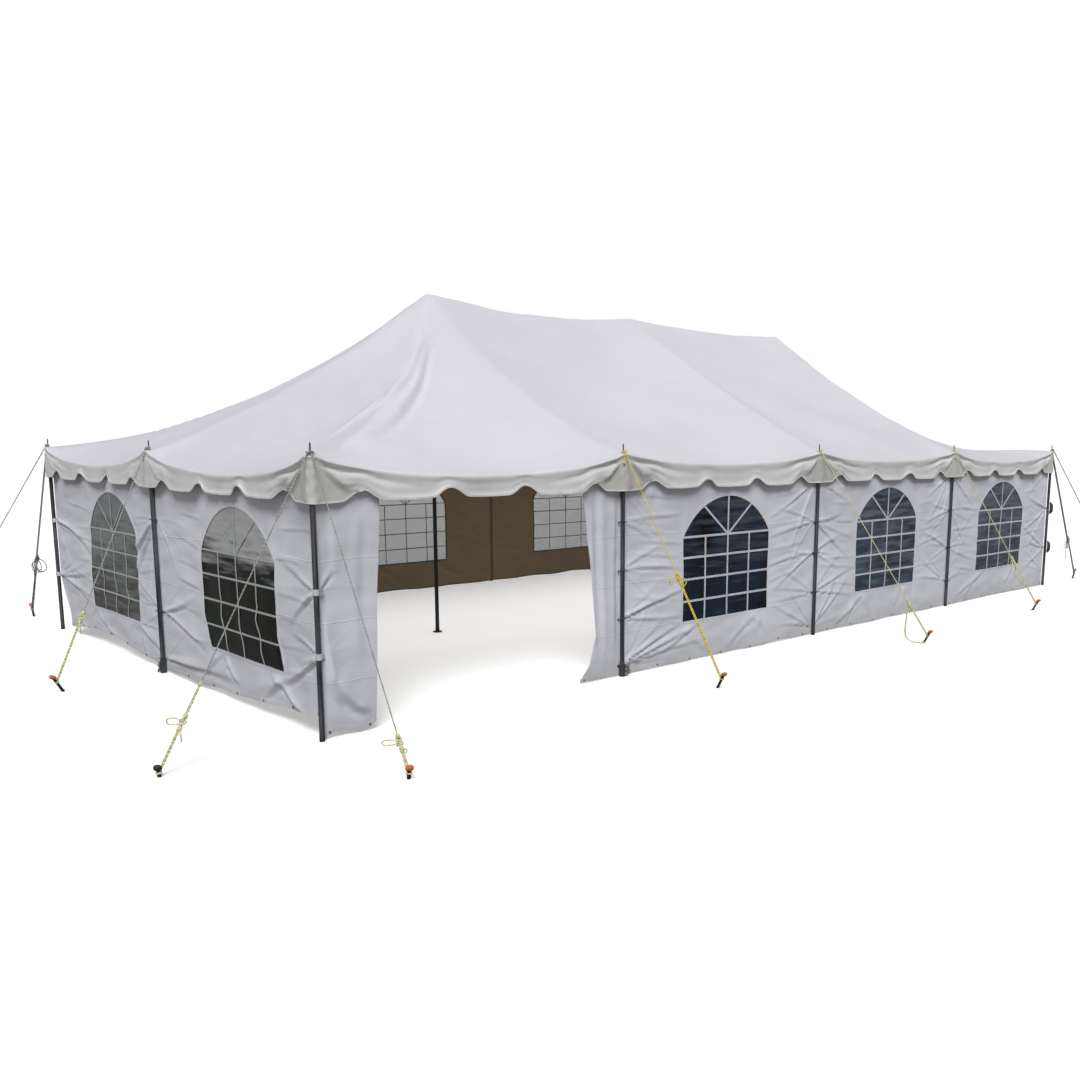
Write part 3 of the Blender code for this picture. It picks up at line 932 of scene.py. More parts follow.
@dataclass(frozen=True)
class Pleat:
    """A tuck of slack roof cloth that runs down a hip."""

    path: tuple[tuple[float, float], ...]
    height: float
    broad: float
    steep: float

    def mirrored(self, flip_x: int, flip_y: int, share: float) -> "Pleat":
        """The same tuck on another hip, at a share of its height."""
        path = tuple((x * flip_x, y * flip_y) for x, y in self.path)
        return Pleat(path, self.height * share, self.broad, self.steep)

    def rise(self, x: Points, y: Points) -> Points:
        """Height that the tuck adds to the roof.

        Args:
            x: places along X.
            y: places along Y.

        Returns:
            Heights in metres.
        """
        route = np.array(self.path)
        lengths = np.linalg.norm(np.diff(route, axis=0), axis=1)
        starts = np.concatenate([[0.0], np.cumsum(lengths)])
        best = np.full(x.shape, 1e9)
        gap, gone = np.zeros(x.shape), np.zeros(x.shape)
        flip = np.sign(route[0][0] * route[0][1])
        for start, end, length, before in zip(route, route[1:], lengths, starts):
            dx, dy = (end - start) / length
            along = np.clip((x - start[0]) * dx + (y - start[1]) * dy, 0, length)
            off_x, off_y = x - start[0] - along * dx, y - start[1] - along * dy
            away = np.hypot(off_x, off_y)
            nearer = away < best
            gap = np.where(nearer, away * np.sign(dx * off_y - dy * off_x), gap)
            gone = np.where(nearer, before + along, gone)
            best = np.minimum(best, away)
        gap = gap * flip
        share = gone / starts[-1]
        fade = ease(share, 0.0, 0.25) * ease(1 - share, 0.0, 0.6)
        gap = gap / (1 + 0.9 * share)
        broad = np.exp(-np.abs(gap / self.broad) ** 1.5)
        steep = np.exp(-(gap / self.steep) ** 2) \
            - 0.75 * np.exp(-((gap - 1.9 * self.steep) / self.steep) ** 2)
        return self.height * fade * np.where(gap < 0, broad, steep)


HIP_PLEATS = (
    Pleat(((-3.30, -0.36), (-3.385, -0.489), (-3.651, -0.779), (-4.078, -1.263), (-4.324, -1.49),
           (-4.551, -1.698), (-5.0, -2.066), (-5.6, -2.60)), 0.036, 0.08, 0.024),
    Pleat(((-3.40, -0.40), (-3.47, -0.513), (-3.728, -0.776), (-3.953, -0.998), (-4.225, -1.264),
           (-4.559, -1.566), (-4.9, -1.70)), 0.024, 0.040, 0.021),
    Pleat(((-4.0, -1.04), (-4.089, -1.13), (-4.475, -1.433), (-4.763, -1.524), (-5.25, -1.80)),
          0.020, 0.040, 0.021),
    Pleat(((-4.40, -1.30), (-4.463, -1.336), (-4.759, -1.48), (-5.139, -1.643), (-5.45, -1.86)),
          0.016, 0.036, 0.020),
)


class RoofSlot(Enum):
    """Material slots of the roof sheet's outer face; the next one is its inner face."""

    ROOF = 0
    VALANCE = 2
    GUSSET = 4


@dataclass
class RoofSheet:
    """The roof and its scalloped valance, one sheet stretched over all the poles."""

    plan: TentPlan
    finishes: Finishes
    middle_step: float = 0.15
    hip_step: float = 0.09
    pleat_step: float = 0.029
    thickness: float = 0.0015
    corner_radius: float = 0.07
    pulled_in: float = 0.03
    bottom_z: float = 1.735
    scallop_rise: float = 0.08
    scallops_per_bay: int = 4
    gusset_reach: float = 0.35
    hollow_width: float = 0.38
    far_hip_slack: float = 0.18
    hip_lift: float = 0.06
    edge_inset: float = 0.018
    pin_draw: float = 0.62
    pin_width: float = 0.10
    fine_reach: float = 0.42
    fine_steps: tuple = (0.022, 0.046)
    flat_size: tuple = (13.5, 7.9)
    cloth_area: float = 98.0
    # Bays from the middle of the tent, and depth of the hollow beside that seam
    seam_hollows: tuple = ((-1, 0.028), (0, 0.036))
    # Share of the valance's height below the eave, and distance outside the pole line
    profile: tuple = ((0.02, 0.042), (0.05, 0.047), (0.09, 0.051), (0.14, 0.053), (0.24, 0.052),
                      (0.34, 0.048), (0.46, 0.0465), (0.62, 0.049), (0.76, 0.050), (0.87, 0.054),
                      (1.0, 0.064))
    coarse_drops: tuple = (0.02, 0.05, 0.09, 0.14)
    fine_drops: tuple = (0.19, 0.24, 0.29, 0.35, 0.41, 0.47, 0.53, 0.59, 0.65, 0.71, 0.77, 0.83, 0.89,
                         0.945, 1.0)
    # Folds that fan from each pin into the valance, measured from the pin
    pin_folds: tuple = field(default_factory=lambda: (
        Fold((0.03, -0.02), (1.1, -0.09), 0.009, 0.035, fan=True),
        Fold((0.02, -0.03), (0.8, -0.17), 0.010, 0.035, fan=True),
        Fold((0.02, -0.05), (0.52, -0.25), 0.011, 0.035, fan=True)))

    def grid_lines(self) -> tuple[Points, Points]:
        """Grid lines over the roof, placed so that each hip runs through grid points.

        Returns:
            Lines across X and lines across Y.
        """
        bay, pad = self.plan.bay, self.plan.pad
        edge = bay + self.plan.overhang - self.edge_inset
        steps = spaced([0.0, pad, 0.45, 2.2, bay - pad, bay, edge], self.hip_step)
        pleated = np.concatenate([steps, spaced([0.45, 2.2], self.pleat_step)])
        middle = spaced([-bay, -bay + pad, -pad, 0.0, pad, bay - pad, bay], self.middle_step)
        across_x = np.concatenate([-bay - pleated, middle, bay + steps])
        across_y = np.concatenate([-pleated, steps])
        return np.unique(np.round(across_x, 6)), np.unique(np.round(across_y, 6))

    def surface(self, x: Points, y: Points) -> Points:
        """Points of the roof above a plan.

        Args:
            x: places along X.
            y: places along Y.

        Returns:
            Points, shape (..., 3).
        """
        plan = self.plan
        z = plan.roof_height(x, y)
        for pleat in HIP_PLEATS:
            z = z + pleat.rise(x, y)
        for pleat in HIP_PLEATS[:2]:
            for flip_x, flip_y in ((-1, -1), (1, -1), (-1, 1)):
                z = z + pleat.mirrored(flip_x, flip_y, 0.6).rise(x, y)
        edge = np.minimum(plan.half_length - np.abs(x), plan.half_depth - np.abs(y))
        free = ease(edge, 0.05, 0.6)
        # The cloth is tight over each pole's head, so nothing lowers it there
        peak = np.round(np.clip(x / plan.bay, -1, 1)) * plan.bay
        off_peak = ease(np.hypot(x - peak, y), 0.04, 0.25)
        z = z + off_peak * free * (0.006 * swell(x, y, 1.3, 3) + 0.003 * swell(x, y, 0.45, 4))
        z = z + self.pole_tension(x, y) + self.tight_hip(x, y) \
            - off_peak * (self.seam_hollow(x, y) + self.far_slack(x, y))
        pin = np.where(plan.half_length - np.abs(x) < plan.half_depth - np.abs(y), y, x) / plan.bay
        pin = np.abs(pin - np.round(pin)) * plan.bay
        z = z - 0.012 * np.clip((0.04 - edge) / 0.077, 0, 1) ** 2 * ease(pin, 0.1, 0.5)
        # Square corners of the overhang are rounded and the eaves drawn in between the poles
        radius = self.corner_radius
        out_x = np.abs(x) - (plan.half_length + plan.overhang - radius)
        out_y = np.abs(y) - (plan.half_depth + plan.overhang - radius)
        corner = (out_x > 0) & (out_y > 0)
        shrink = np.where(corner, np.maximum(out_x, out_y) / np.maximum(np.hypot(out_x, out_y), 1e-9), 1.0)
        new_x = np.where(corner, np.sign(x) * (np.abs(x) - out_x * (1 - shrink)), x)
        new_y = np.where(corner, np.sign(y) * (np.abs(y) - out_y * (1 - shrink)), y)
        new_x = self.drawn(new_x, y, plan.half_length, plan.half_depth)
        new_y = self.drawn(new_y, x, plan.half_depth, plan.half_length)
        return np.stack([new_x, new_y, z], axis=-1)

    def drawn(self, across: Points, along: Points, reach: float, half: float) -> Points:
        """Draw the overhang in to each pin, and the whole edge in between the pins.

        Args:
            across: places at right angles to an edge.
            along: places along it.
            reach: distance of the pole line.
            half: half the length of the edge.

        Returns:
            The moved places at right angles to the edge.
        """
        past = np.maximum(np.abs(across) - reach, 0.0)
        moved = np.abs(across) - past * self.pinch(along) \
            - self.draw_in(half, along) * ease(np.abs(across), reach - 0.7, reach)
        return np.sign(across) * moved

    def pinch(self, along: Points) -> Points:
        """Share of the overhang that each pin takes up."""
        post = along / self.plan.bay
        return self.pin_draw * np.exp(-((post - np.round(post)) * self.plan.bay / self.pin_width) ** 2)

    def pole_tension(self, x: Points, y: Points) -> Points:
        """Short stress folds that fan out from each side pole into the roof.

        Args:
            x: places along X.
            y: places along Y.

        Returns:
            Heights to add.
        """
        total = np.zeros(x.shape)
        for number, (pole_x, pole_y) in enumerate(self.plan.pole_places().values()):
            away = np.hypot(x - pole_x, y - pole_y)
            angle = np.arctan2(y - pole_y, x - pole_x)
            fan = np.cos(9 * angle + number) + 0.6 * np.cos(14 * angle + 2 * number)
            total += 0.004 * fan * ease(away, 0.05, 0.25) * (1 - ease(away, 0.3, 0.9))
        return total

    def seam_hollow(self, x: Points, y: Points) -> Points:
        """Hollow in which each panel falls away from the seam over its centre pole.

        Args:
            x: places along X.
            y: places along Y.

        Returns:
            Depths to take off.
        """
        down = np.clip(np.abs(y) / self.plan.half_depth, 0, 1)
        total = np.zeros(x.shape)
        for seam, depth in self.seam_hollows:
            past = np.maximum(x - seam * self.plan.bay, 0) / self.hollow_width
            total += depth * past * np.exp(1 - past)
        return total * ease(down, 0.0, 0.3) * ease(1 - down, 0.0, 0.35)

    def far_slack(self, x: Points, y: Points) -> Points:
        """How far the hips away from the door hang lower than the others.

        Args:
            x: places along X.
            y: places along Y.

        Returns:
            Depths to take off.
        """
        past = (x - self.plan.bay) / self.plan.bay
        down = np.clip(np.maximum(past, np.abs(y) / self.plan.half_depth), 0, 1)
        share = 0.35 * ease(past, -0.6, 0.0) + 0.65 * ease(past, 0.0, 0.6)
        return self.far_hip_slack * share * 4 * down * (1 - down) * ease(1 - down, 0.0, 0.35)

    def tight_hip(self, x: Points, y: Points) -> Points:
        """How far the hip at the back left corner is drawn up by its two ropes.

        Args:
            x: places along X.
            y: places along Y.

        Returns:
            Heights to add.
        """
        across = np.clip((-x - self.plan.bay) / self.plan.bay, 0, 1)
        down = np.clip(y / self.plan.half_depth, 0, 1)
        far = np.maximum(np.maximum(across, down), 1e-6)
        turn = np.minimum(across, down) / far
        return self.hip_lift * ease(turn, 0.0, 1.0) * 4 * far * (1 - far)

    def draw_in(self, half: float, along: Points) -> Points:
        """How far the edge is drawn in between two poles."""
        return self.pulled_in * np.sin(math.pi * self.plan.bay_of(along, half)[1])

    def build(self) -> None:
        plan = self.plan
        grid_x, grid_y = np.meshgrid(*self.grid_lines())
        roof = self.surface(grid_x, grid_y)
        rows, columns = grid_x.shape
        index = np.arange(rows * columns).reshape(rows, columns)
        hip = np.abs(np.abs(grid_x) - plan.bay - np.abs(grid_y)) < 1e-5
        faces = self.roof_faces(index, hip)
        roof_faces = len(faces)
        loop = np.concatenate([index[0, :], index[1:, -1], index[-1, -2::-1], index[-2:0:-1, 0]])
        points = [roof.reshape(-1, 3)]
        edge = self.edge_facts(grid_x.ravel()[loop], grid_y.ravel()[loop], roof.reshape(-1, 3)[loop])
        last, base = loop, rows * columns
        for drop in self.coarse_drops:
            ring = self.valance_row(edge, drop)
            row = base + np.arange(len(loop))
            points.append(ring)
            faces += self.band(last, row)
            last, base = row, base + len(loop)
        fine_edge, counts = self.refined(edge)
        first = True
        for drop in self.fine_drops:
            ring = self.valance_row(fine_edge, drop)
            row = base + np.arange(len(ring))
            points.append(ring)
            faces += self.transition(last, row, counts) if first else self.band(last, row)
            first, last, base = False, row, base + len(ring)
        cloths = (ROOF_CLOTH, INNER_FACE_SHADE_CLOTH, VALANCE_CLOTH, VALANCE_LINING, GUSSET_SHADE_CLOTH, VALANCE_LINING)
        materials = [self.finishes.get(cloth) for cloth in cloths]
        sheet = add_piece("roof_sheet", np.vstack(points), faces, materials)
        for number, polygon in enumerate(sheet.data.polygons):
            slot = RoofSlot.ROOF if number < roof_faces else self.cloth_slot(polygon.center)
            polygon.material_index = slot.value
        thicken(sheet, self.thickness)
        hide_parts("roof_canopy", "valance_front", "valance_back", "valance_left", "valance_right")
        binding = self.build_binding(ring, fine_edge)
        LOG.info("roof sheet of %d points with its bound edge", len(sheet.data.vertices))

    def cloth_slot(self, centre: Vector) -> RoofSlot:
        """Slot of the valance's cloth at a face, painted darker on the gusset at each pole as shade.

        Args:
            centre: middle of the face.

        Returns:
            The slot.
        """
        plan = self.plan
        long_side = abs(centre.y) - plan.half_depth > abs(centre.x) - plan.half_length
        along = centre.x if long_side else centre.y
        pole = abs(along - round(along / plan.bay) * plan.bay)
        drop = (plan.eave_z - centre.z) / (plan.eave_z - self.bottom_z)
        loose = centre.x < -plan.half_length and centre.y > -0.8
        # The gusset under each pin gets the darker cloth as painted shade
        gusset_shade = pole < self.gusset_reach * drop + 0.005 and not loose
        return RoofSlot.GUSSET if gusset_shade else RoofSlot.VALANCE

    @staticmethod
    def roof_faces(index: Points, hip: Points) -> list[tuple[int, ...]]:
        """Faces of the roof, split along the hips.

        Args:
            index: point numbers in rows and columns.
            hip: whether each point lies on a hip.

        Returns:
            The faces.
        """
        corners = (slice(None, -1), slice(None, -1)), (slice(None, -1), slice(1, None)), \
            (slice(1, None), slice(1, None)), (slice(1, None), slice(None, -1))
        a, b, c, d = (index[at].ravel() for at in corners)
        on = [hip[at].ravel() for at in corners]
        falling, rising = on[0] & on[2], on[1] & on[3]
        plain = ~(falling | rising)
        faces = np.stack([a, b, c, d], axis=-1)[plain].tolist()
        for mask, triples in ((falling, ((a, b, c), (a, c, d))), (rising, ((a, b, d), (b, c, d)))):
            for triple in triples:
                faces += np.stack(triple, axis=-1)[mask].tolist()
        return [tuple(face) for face in faces]

    def edge_facts(self, x: Points, y: Points, place: Points) -> dict[str, Points]:
        """What the valance needs to know at each point of the roof's edge.

        Args:
            x: flat-plan X of the edge's points.
            y: flat-plan Y of the edge's points.
            place: the points themselves.

        Returns:
            Plan position, height, outward direction and distance along the side.
        """
        plan = self.plan
        step = np.roll(place, -1, 0) - np.roll(place, 1, 0)
        out = np.stack([step[:, 1], -step[:, 0]], axis=1)
        out /= np.linalg.norm(out, axis=1, keepdims=True)
        long_side = np.abs(y) - plan.half_depth > np.abs(x) - plan.half_length
        along = np.where(long_side, x, y)
        return {"plan": place[:, :2], "z": place[:, 2], "out": out, "along": along}

    def refined(self, edge: dict[str, Points]) -> tuple[dict[str, Points], list[int]]:
        """Split the edge finely enough for the scallops.

        Args:
            edge: facts of the coarse edge.

        Returns:
            Facts of the fine edge, and the pieces that each coarse step became.
        """
        length = np.linalg.norm(np.roll(edge["plan"], -1, 0) - edge["plan"], axis=1)
        post = edge["along"] / self.plan.bay
        near = np.abs(post - np.round(post)) * self.plan.bay < self.fine_reach
        steps = np.where(near, *self.fine_steps)
        counts = [max(1, math.ceil(gap / step)) for gap, step in zip(length, steps)]
        share = np.concatenate([np.arange(count) / count for count in counts])
        first = np.repeat(np.arange(len(counts)), counts)
        second = (first + 1) % len(counts)
        fine = {}
        for key, values in edge.items():
            weight = share if values.ndim == 1 else share[:, None]
            fine[key] = values[first] * (1 - weight) + values[second] * weight
        return fine, counts

    def valance_row(self, edge: dict[str, Points], drop: float) -> Points:
        """One row of points round the valance.

        Args:
            edge: facts of the edge.
            drop: share of the valance's height below the eave.

        Returns:
            Points, shape (count, 3).
        """
        along = edge["along"]
        width = self.plan.bay / self.scallops_per_bay
        phase = along / width
        offset = 2 * np.abs(phase - np.round(phase))
        number = np.round(phase).astype(int)
        notched = 0.22 * offset ** 2 + 0.78 * ease(offset, 0.56 + 0.05 * np.sin(number * 2.3), 0.95)
        bottom = self.bottom_z + self.scallop_rise * notched + 0.005 * np.sin(number * 1.7 + 0.4)
        z = edge["z"] - drop * (edge["z"] - bottom)
        post = np.round(along / self.plan.bay)
        pole = np.abs(along - post * self.plan.bay)
        brink = self.gusset_reach * drop
        # Along the left end the cloth hangs more loosely, so its rolls and gussets hardly show
        left_end = edge["plan"][:, 0] < -self.plan.half_length
        calm = 1 - 0.7 * left_end * ease(along, -1.7, -0.8)
        gusset = (1 - ease(pole, brink - 0.004, brink + 0.018)) * calm
        # The gusset lies flat against its pole and is rucked under the pin
        rucks = 0.0045 * np.exp(-(pole / 0.045) ** 2) * (1 + swell(z, 1.5 * along, 0.07, 14))
        straight = 0.0265 + 0.004 * drop + rucks * ease(drop, 0.05, 0.2)
        # The rolls of the hanging cloth run together at each pin: a ridge beside the gusset, a hollow over it
        roll = drop / (0.4 + 0.6 * ease(pole, 0.0, 0.75))
        out = np.interp(roll, [p[0] for p in self.profile], [p[1] for p in self.profile])
        out = out * calm + (0.044 + 0.014 * drop) * (1 - calm)
        ridge = 0.005 * calm * np.exp(-((pole - brink - 0.010) / 0.016) ** 2) * ease(drop, 0.08, 0.3)
        hollow = 0.042 * calm * np.exp(-(pole / 0.55) ** 2) * np.exp(-((roll - 0.31) / 0.17) ** 2)
        beside = 0.8 * calm * np.exp(-(np.maximum(pole - brink, 0) / 0.16) ** 2) * ease(drop, 0.35, 0.75)
        out = out + (straight + 0.003 - out) * beside
        away = (out - hollow) * (1 - gusset) + straight * gusset + ridge
        free = ease(drop, 0.05, 0.25)
        for turn, fold in enumerate(self.pin_folds):
            vary = 0.8 + 0.5 * np.sin(2.1 * post + 1.3 * np.sign(along - post * self.plan.bay) + turn)
            away = away + free * calm * (1 - gusset) * vary * fold.rise(pole, z - edge["z"])
        # Notches curl a little, each in its own way, and the lower edge ripples
        notch = np.exp(-((offset - 1) / 0.2) ** 2)
        away = away + ease(drop, 0.4, 1.0) * notch * 0.016 * np.sin(np.floor(phase) * 3.7 + 1.0)
        flat = np.zeros_like(along)
        ripple = 0.007 * swell(along, flat, 0.7, 11) + 0.0025 * swell(along, z, 0.2, 12)
        away = away + ease(drop, 0.1, 1.0) * ripple
        shift = np.maximum(away, 0.006) - (self.plan.overhang - self.edge_inset) * (1 - self.pinch(along))
        plan = edge["plan"] + edge["out"] * shift[:, None]
        return np.column_stack([plan, z])

    @staticmethod
    def band(upper: Points, lower: Points) -> list[tuple[int, ...]]:
        """Faces between two equal rows that close round the tent."""
        return [tuple(face) for face in np.stack(
            [upper, lower, np.roll(lower, -1), np.roll(upper, -1)], axis=-1).tolist()]

    @staticmethod
    def transition(upper: Points, lower: Points, counts: list[int]) -> list[tuple[int, ...]]:
        """Faces between a coarse row and the finer one under it.

        Args:
            upper: point numbers of the coarse row.
            lower: point numbers of the fine row.
            counts: fine steps under each coarse step.

        Returns:
            The faces.
        """
        faces, start, total = [], 0, len(lower)
        for number, count in enumerate(counts):
            under = [int(lower[(start + k) % total]) for k in range(count + 1)]
            after = int(upper[(number + 1) % len(upper)])
            faces.append((int(upper[number]), *under, after))
            start += count
        return faces

    def build_binding(self, bottom: Points, edge: dict[str, Points]) -> bpy.types.Object:
        """Sew the binding tape round the scalloped edge.

        Args:
            bottom: points of the valance's lower edge.
            edge: facts of the edge.

        Returns:
            The binding piece.
        """
        shells = Shells()
        out = np.column_stack([edge["out"], np.zeros(len(bottom))])
        run = np.roll(bottom, -1, 0) - np.roll(bottom, 1, 0)
        across = np.cross(out, run)
        across /= np.linalg.norm(across, axis=1, keepdims=True)
        middle = bottom - out * self.thickness / 2 + across * np.sign(across[:, 2:3]) * 0.005
        shells.ribbon(middle, across, out, 0.016, self.thickness + 0.003, closed=True)
        return shells.piece("valance_binding", self.finishes.get(BINDING_TAPE), "roof_sheet")


# The walls

@dataclass(frozen=True)
class TiePoint:
    """Where a wall is tied to a pole."""

    along: float
    z: float
    strength: float = 1.0
    ways: tuple[int, ...] = (-1, 1)


@dataclass
class WallDrape:
    """Shape of one hanging wall: where each of its points lies."""

    plan: TentPlan
    side: Side
    start: float
    end: float
    windows: list[float]
    ties: list[TiePoint]
    extra: list[Fold] = field(default_factory=list)
    seed: int = 1
    hem_table: tuple = ((0.0, 0.010),)
    edge_table: tuple = ()
    free_start: float | None = None
    slack: float = 1.0
    pane_calm: float = 0.7
    fullness: float = 1.03
    pole_gap: float = 0.0015
    roof_gap: float = 0.0075
    folds: list[Fold] = field(init=False)

    def __post_init__(self) -> None:
        """Work out the folds that fan from each tie."""
        pick = random.Random(self.seed)
        self.folds = list(self.extra)
        for tie in self.ties:
            for way in tie.ways:
                room = self.end - tie.along if way > 0 else tie.along - self.start
                if room < 0.2:
                    continue
                # High ties hold the cloth up, so their folds run down; low ones hold it down
                lean = np.interp(tie.z, (0.1, 0.6, 1.0, 1.5, 1.78), (0.6, 0.2, -0.1, -0.4, -0.85))
                for spread in (-0.42, -0.02, 0.36):
                    angle = lean + spread + pick.uniform(-0.18, 0.18)
                    length = min(room, pick.uniform(0.55, 1.0))
                    target = (tie.along + way * length * math.cos(angle),
                              max(tie.z + length * math.sin(angle), 0.02))
                    self.folds.append(Fold((tie.along + way * 0.02, tie.z), target,
                                           tie.strength * pick.uniform(0.007, 0.021),
                                           pick.uniform(0.03, 0.06), pick.uniform(-0.03, 0.03), True))
        for centre in self.windows:
            for way in (-1, 1):
                for step in range(7):
                    z = 0.45 + 0.2 * step + pick.uniform(-0.06, 0.06)
                    near = centre + way * pick.uniform(0.62, 0.72)
                    far = centre + way * pick.uniform(1.1, 1.5)
                    self.folds.append(Fold((near, z), (far, z + pick.uniform(-0.03, 0.12)),
                                           pick.uniform(0.003, 0.008), pick.uniform(0.016, 0.026),
                                           pick.uniform(-0.02, 0.02)))
                for _ in range(3):
                    corner = (centre + way * pick.uniform(0.35, 0.7), pick.uniform(0.36, 0.41))
                    foot = (centre + way * pick.uniform(0.0, 1.3), pick.uniform(0.03, 0.2))
                    self.folds.append(Fold(corner, foot, pick.uniform(0.006, 0.014),
                                           pick.uniform(0.025, 0.05), pick.uniform(-0.04, 0.04)))

    def off(self, u: Points, z: Points) -> Points:
        """Distance of the wall's outer face outside its rest plane.

        Args:
            u: places along the wall.
            z: heights.

        Returns:
            Distances in metres.
        """
        total = 0.009 * self.slack * swell(u, z, 1.3, self.seed) \
            + 0.002 * self.slack * swell(u, z * 2.2, 0.45, self.seed + 50)
        # The cloth is gathered where it hooks on under the roof
        drift = 0.05 * swell(u, z, 0.7, self.seed + 9)
        total = total + 0.006 * np.sin((u + drift) * 2 * math.pi / 0.21) * ease(z, 1.45, 1.95)
        for fold in self.folds:
            total = total + fold.rise(u, z)
        for centre in self.windows:
            beside = ease(0.72 - np.abs(u - centre), 0.0, 0.12)
            total = total * (1 - self.pane_calm * beside * ease(z, 0.36, 0.5) * ease(1.68 - z, 0.0, 0.12))
        half = self.plan.half(self.side)
        pole = np.abs((u + half) / self.plan.bay - np.round((u + half) / self.plan.bay)) * self.plan.bay
        total = total * (0.35 + 0.65 * ease(pole, 0.0, 0.08))
        # It stays behind the poles and clear of the valance
        limit = 0.001 + 0.04 * ease(pole, 0.025, 0.12) * (1 - 0.9 * ease(z, 1.6, 1.74))
        return np.minimum(total, limit) * ease(half - np.abs(u), 0.01, 0.08)

    def slide(self, u: Points, z: Points) -> Points:
        """Sideways travel of the cloth in its own plane.

        Args:
            u: places along the wall.
            z: heights.

        Returns:
            Distances in metres.
        """
        if self.side is Side.BACK:
            # The loose foot of the back wall swings away from the left corner
            return 0.34 * ease(0.64 - z, 0.0, 0.5) * ease(-u, 4.9, 6.05)
        if self.side is not Side.LEFT:
            return np.zeros(np.broadcast(u, z).shape)
        skew = -0.09 * ease(0.72 - z, 0.0, 0.35) * ease(3.0 - np.abs(u + 1.5), 1.4, 2.2)
        loose = -0.26 * ease(0.64 - z, 0.0, 0.5) * ease(u, 1.9, 3.02)
        return skew + loose

    def place(self, u: Points, z: Points, lift: Points | float = 0.0) -> Points:
        """Points of the wall.

        Args:
            u: places along the wall.
            z: heights.
            lift: distance outside the wall's outer face.

        Returns:
            Points, shape (..., 3).
        """
        out = self.plan.reach(self.side) - self.plan.pole_radius - self.pole_gap + self.off(u, z) + lift
        along = u + self.slide(u, z)
        face_x, face_y = self.side.value
        if self.side.long:
            return np.stack([along, face_y * out, z + 0 * out], axis=-1)
        return np.stack([face_x * out, along, z + 0 * out], axis=-1)

    def hem(self, u: Points) -> Points:
        """Height of the wall's lower edge."""
        heights = np.interp(u, [p[0] for p in self.hem_table], [p[1] for p in self.hem_table])
        return np.maximum(heights + 0.010 * swell(u, 0 * u, 0.8, self.seed + 3), 0.004)

    def top(self, u: Points) -> Points:
        """Height of the wall's upper edge, just under the roof."""
        return self.plan.eave_height(self.side, u) - self.roof_gap

    def stretched(self, u: Points, z: Points) -> Points:
        """Places along the wall once its free edge by the door is shaped.

        Args:
            u: places along a straight-edged wall.
            z: heights.

        Returns:
            Places along the shaped wall.
        """
        if not self.edge_table:
            return u
        edge = np.interp(z, [p[1] for p in self.edge_table], [p[0] for p in self.edge_table])
        fixed = self.free_start
        old = self.start if fixed > self.start else self.end
        share = np.clip((u - fixed) / (old - fixed), 0.0, 1.0)
        moved = fixed + (edge - fixed) * share
        return np.where((u - fixed) * (old - fixed) > 0, moved, u)


@dataclass(frozen=True)
class WindowShape:
    """Arched window: upright sides under a flat arc."""

    width: float = 1.345
    bottom_z: float = 0.41
    spring_z: float = 1.25
    rise: float = 0.39

    @property
    def radius(self) -> float:
        """Radius of the arc."""
        half = self.width / 2
        return (half ** 2 + self.rise ** 2) / (2 * self.rise)

    @property
    def arc_z(self) -> float:
        """Height of the arc's middle."""
        return self.spring_z + self.rise - self.radius

    def holds(self, u: Points, z: Points, margin: float = 0.0) -> Points:
        """Whether points lie within the outline grown by a margin.

        Args:
            u: places along the wall from the window's middle.
            z: heights.
            margin: growth in metres.

        Returns:
            True for each point inside.
        """
        upright = (np.abs(u) < self.width / 2 + margin) & (z > self.bottom_z - margin)
        arched = (z < self.spring_z) | (np.hypot(u, z - self.arc_z) < self.radius + margin)
        return upright & arched

    def snapped(self, u: Points, z: Points, margin: float = 0.0) -> tuple[Points, Points]:
        """Move points onto the outline grown by a margin.

        Args:
            u: places along the wall from the window's middle.
            z: heights.
            margin: growth in metres.

        Returns:
            The moved places and heights.
        """
        half, low = self.width / 2 + margin, self.bottom_z - margin
        ray = np.hypot(u, z - self.arc_z)
        on_arc = z > self.spring_z
        scale = (self.radius + margin) / np.maximum(ray, 1e-9)
        arc_u, arc_z = u * scale, self.arc_z + (z - self.arc_z) * scale
        to_side = np.abs(half - np.abs(u)) < np.abs(z - low)
        flat_u = np.where(to_side, np.sign(u) * half, u)
        flat_z = np.where(to_side, z, low)
        return np.where(on_arc, arc_u, flat_u), np.where(on_arc, arc_z, flat_z)

    def outline(self, step: float = 0.03) -> tuple[Points, Points]:
        """Closed outline, counter-clockwise from the lower left corner.

        Args:
            step: distance between points.

        Returns:
            Places along the wall from the middle, and heights.
        """
        half = self.width / 2
        base = spaced([-half, half], step)
        rise = spaced([self.bottom_z, self.spring_z], step)
        reach = math.asin(half / self.radius)
        arc = np.linspace(reach, -reach, 48)
        arc_u, arc_z = self.radius * np.sin(arc)[1:], self.arc_z + self.radius * np.cos(arc)[1:]
        u = np.concatenate([base, np.full(len(rise) - 1, half), arc_u, np.full(len(rise) - 2, -half)])
        z = np.concatenate([np.full(len(base), self.bottom_z), rise[1:], arc_z, rise[-2:0:-1]])
        return u, z


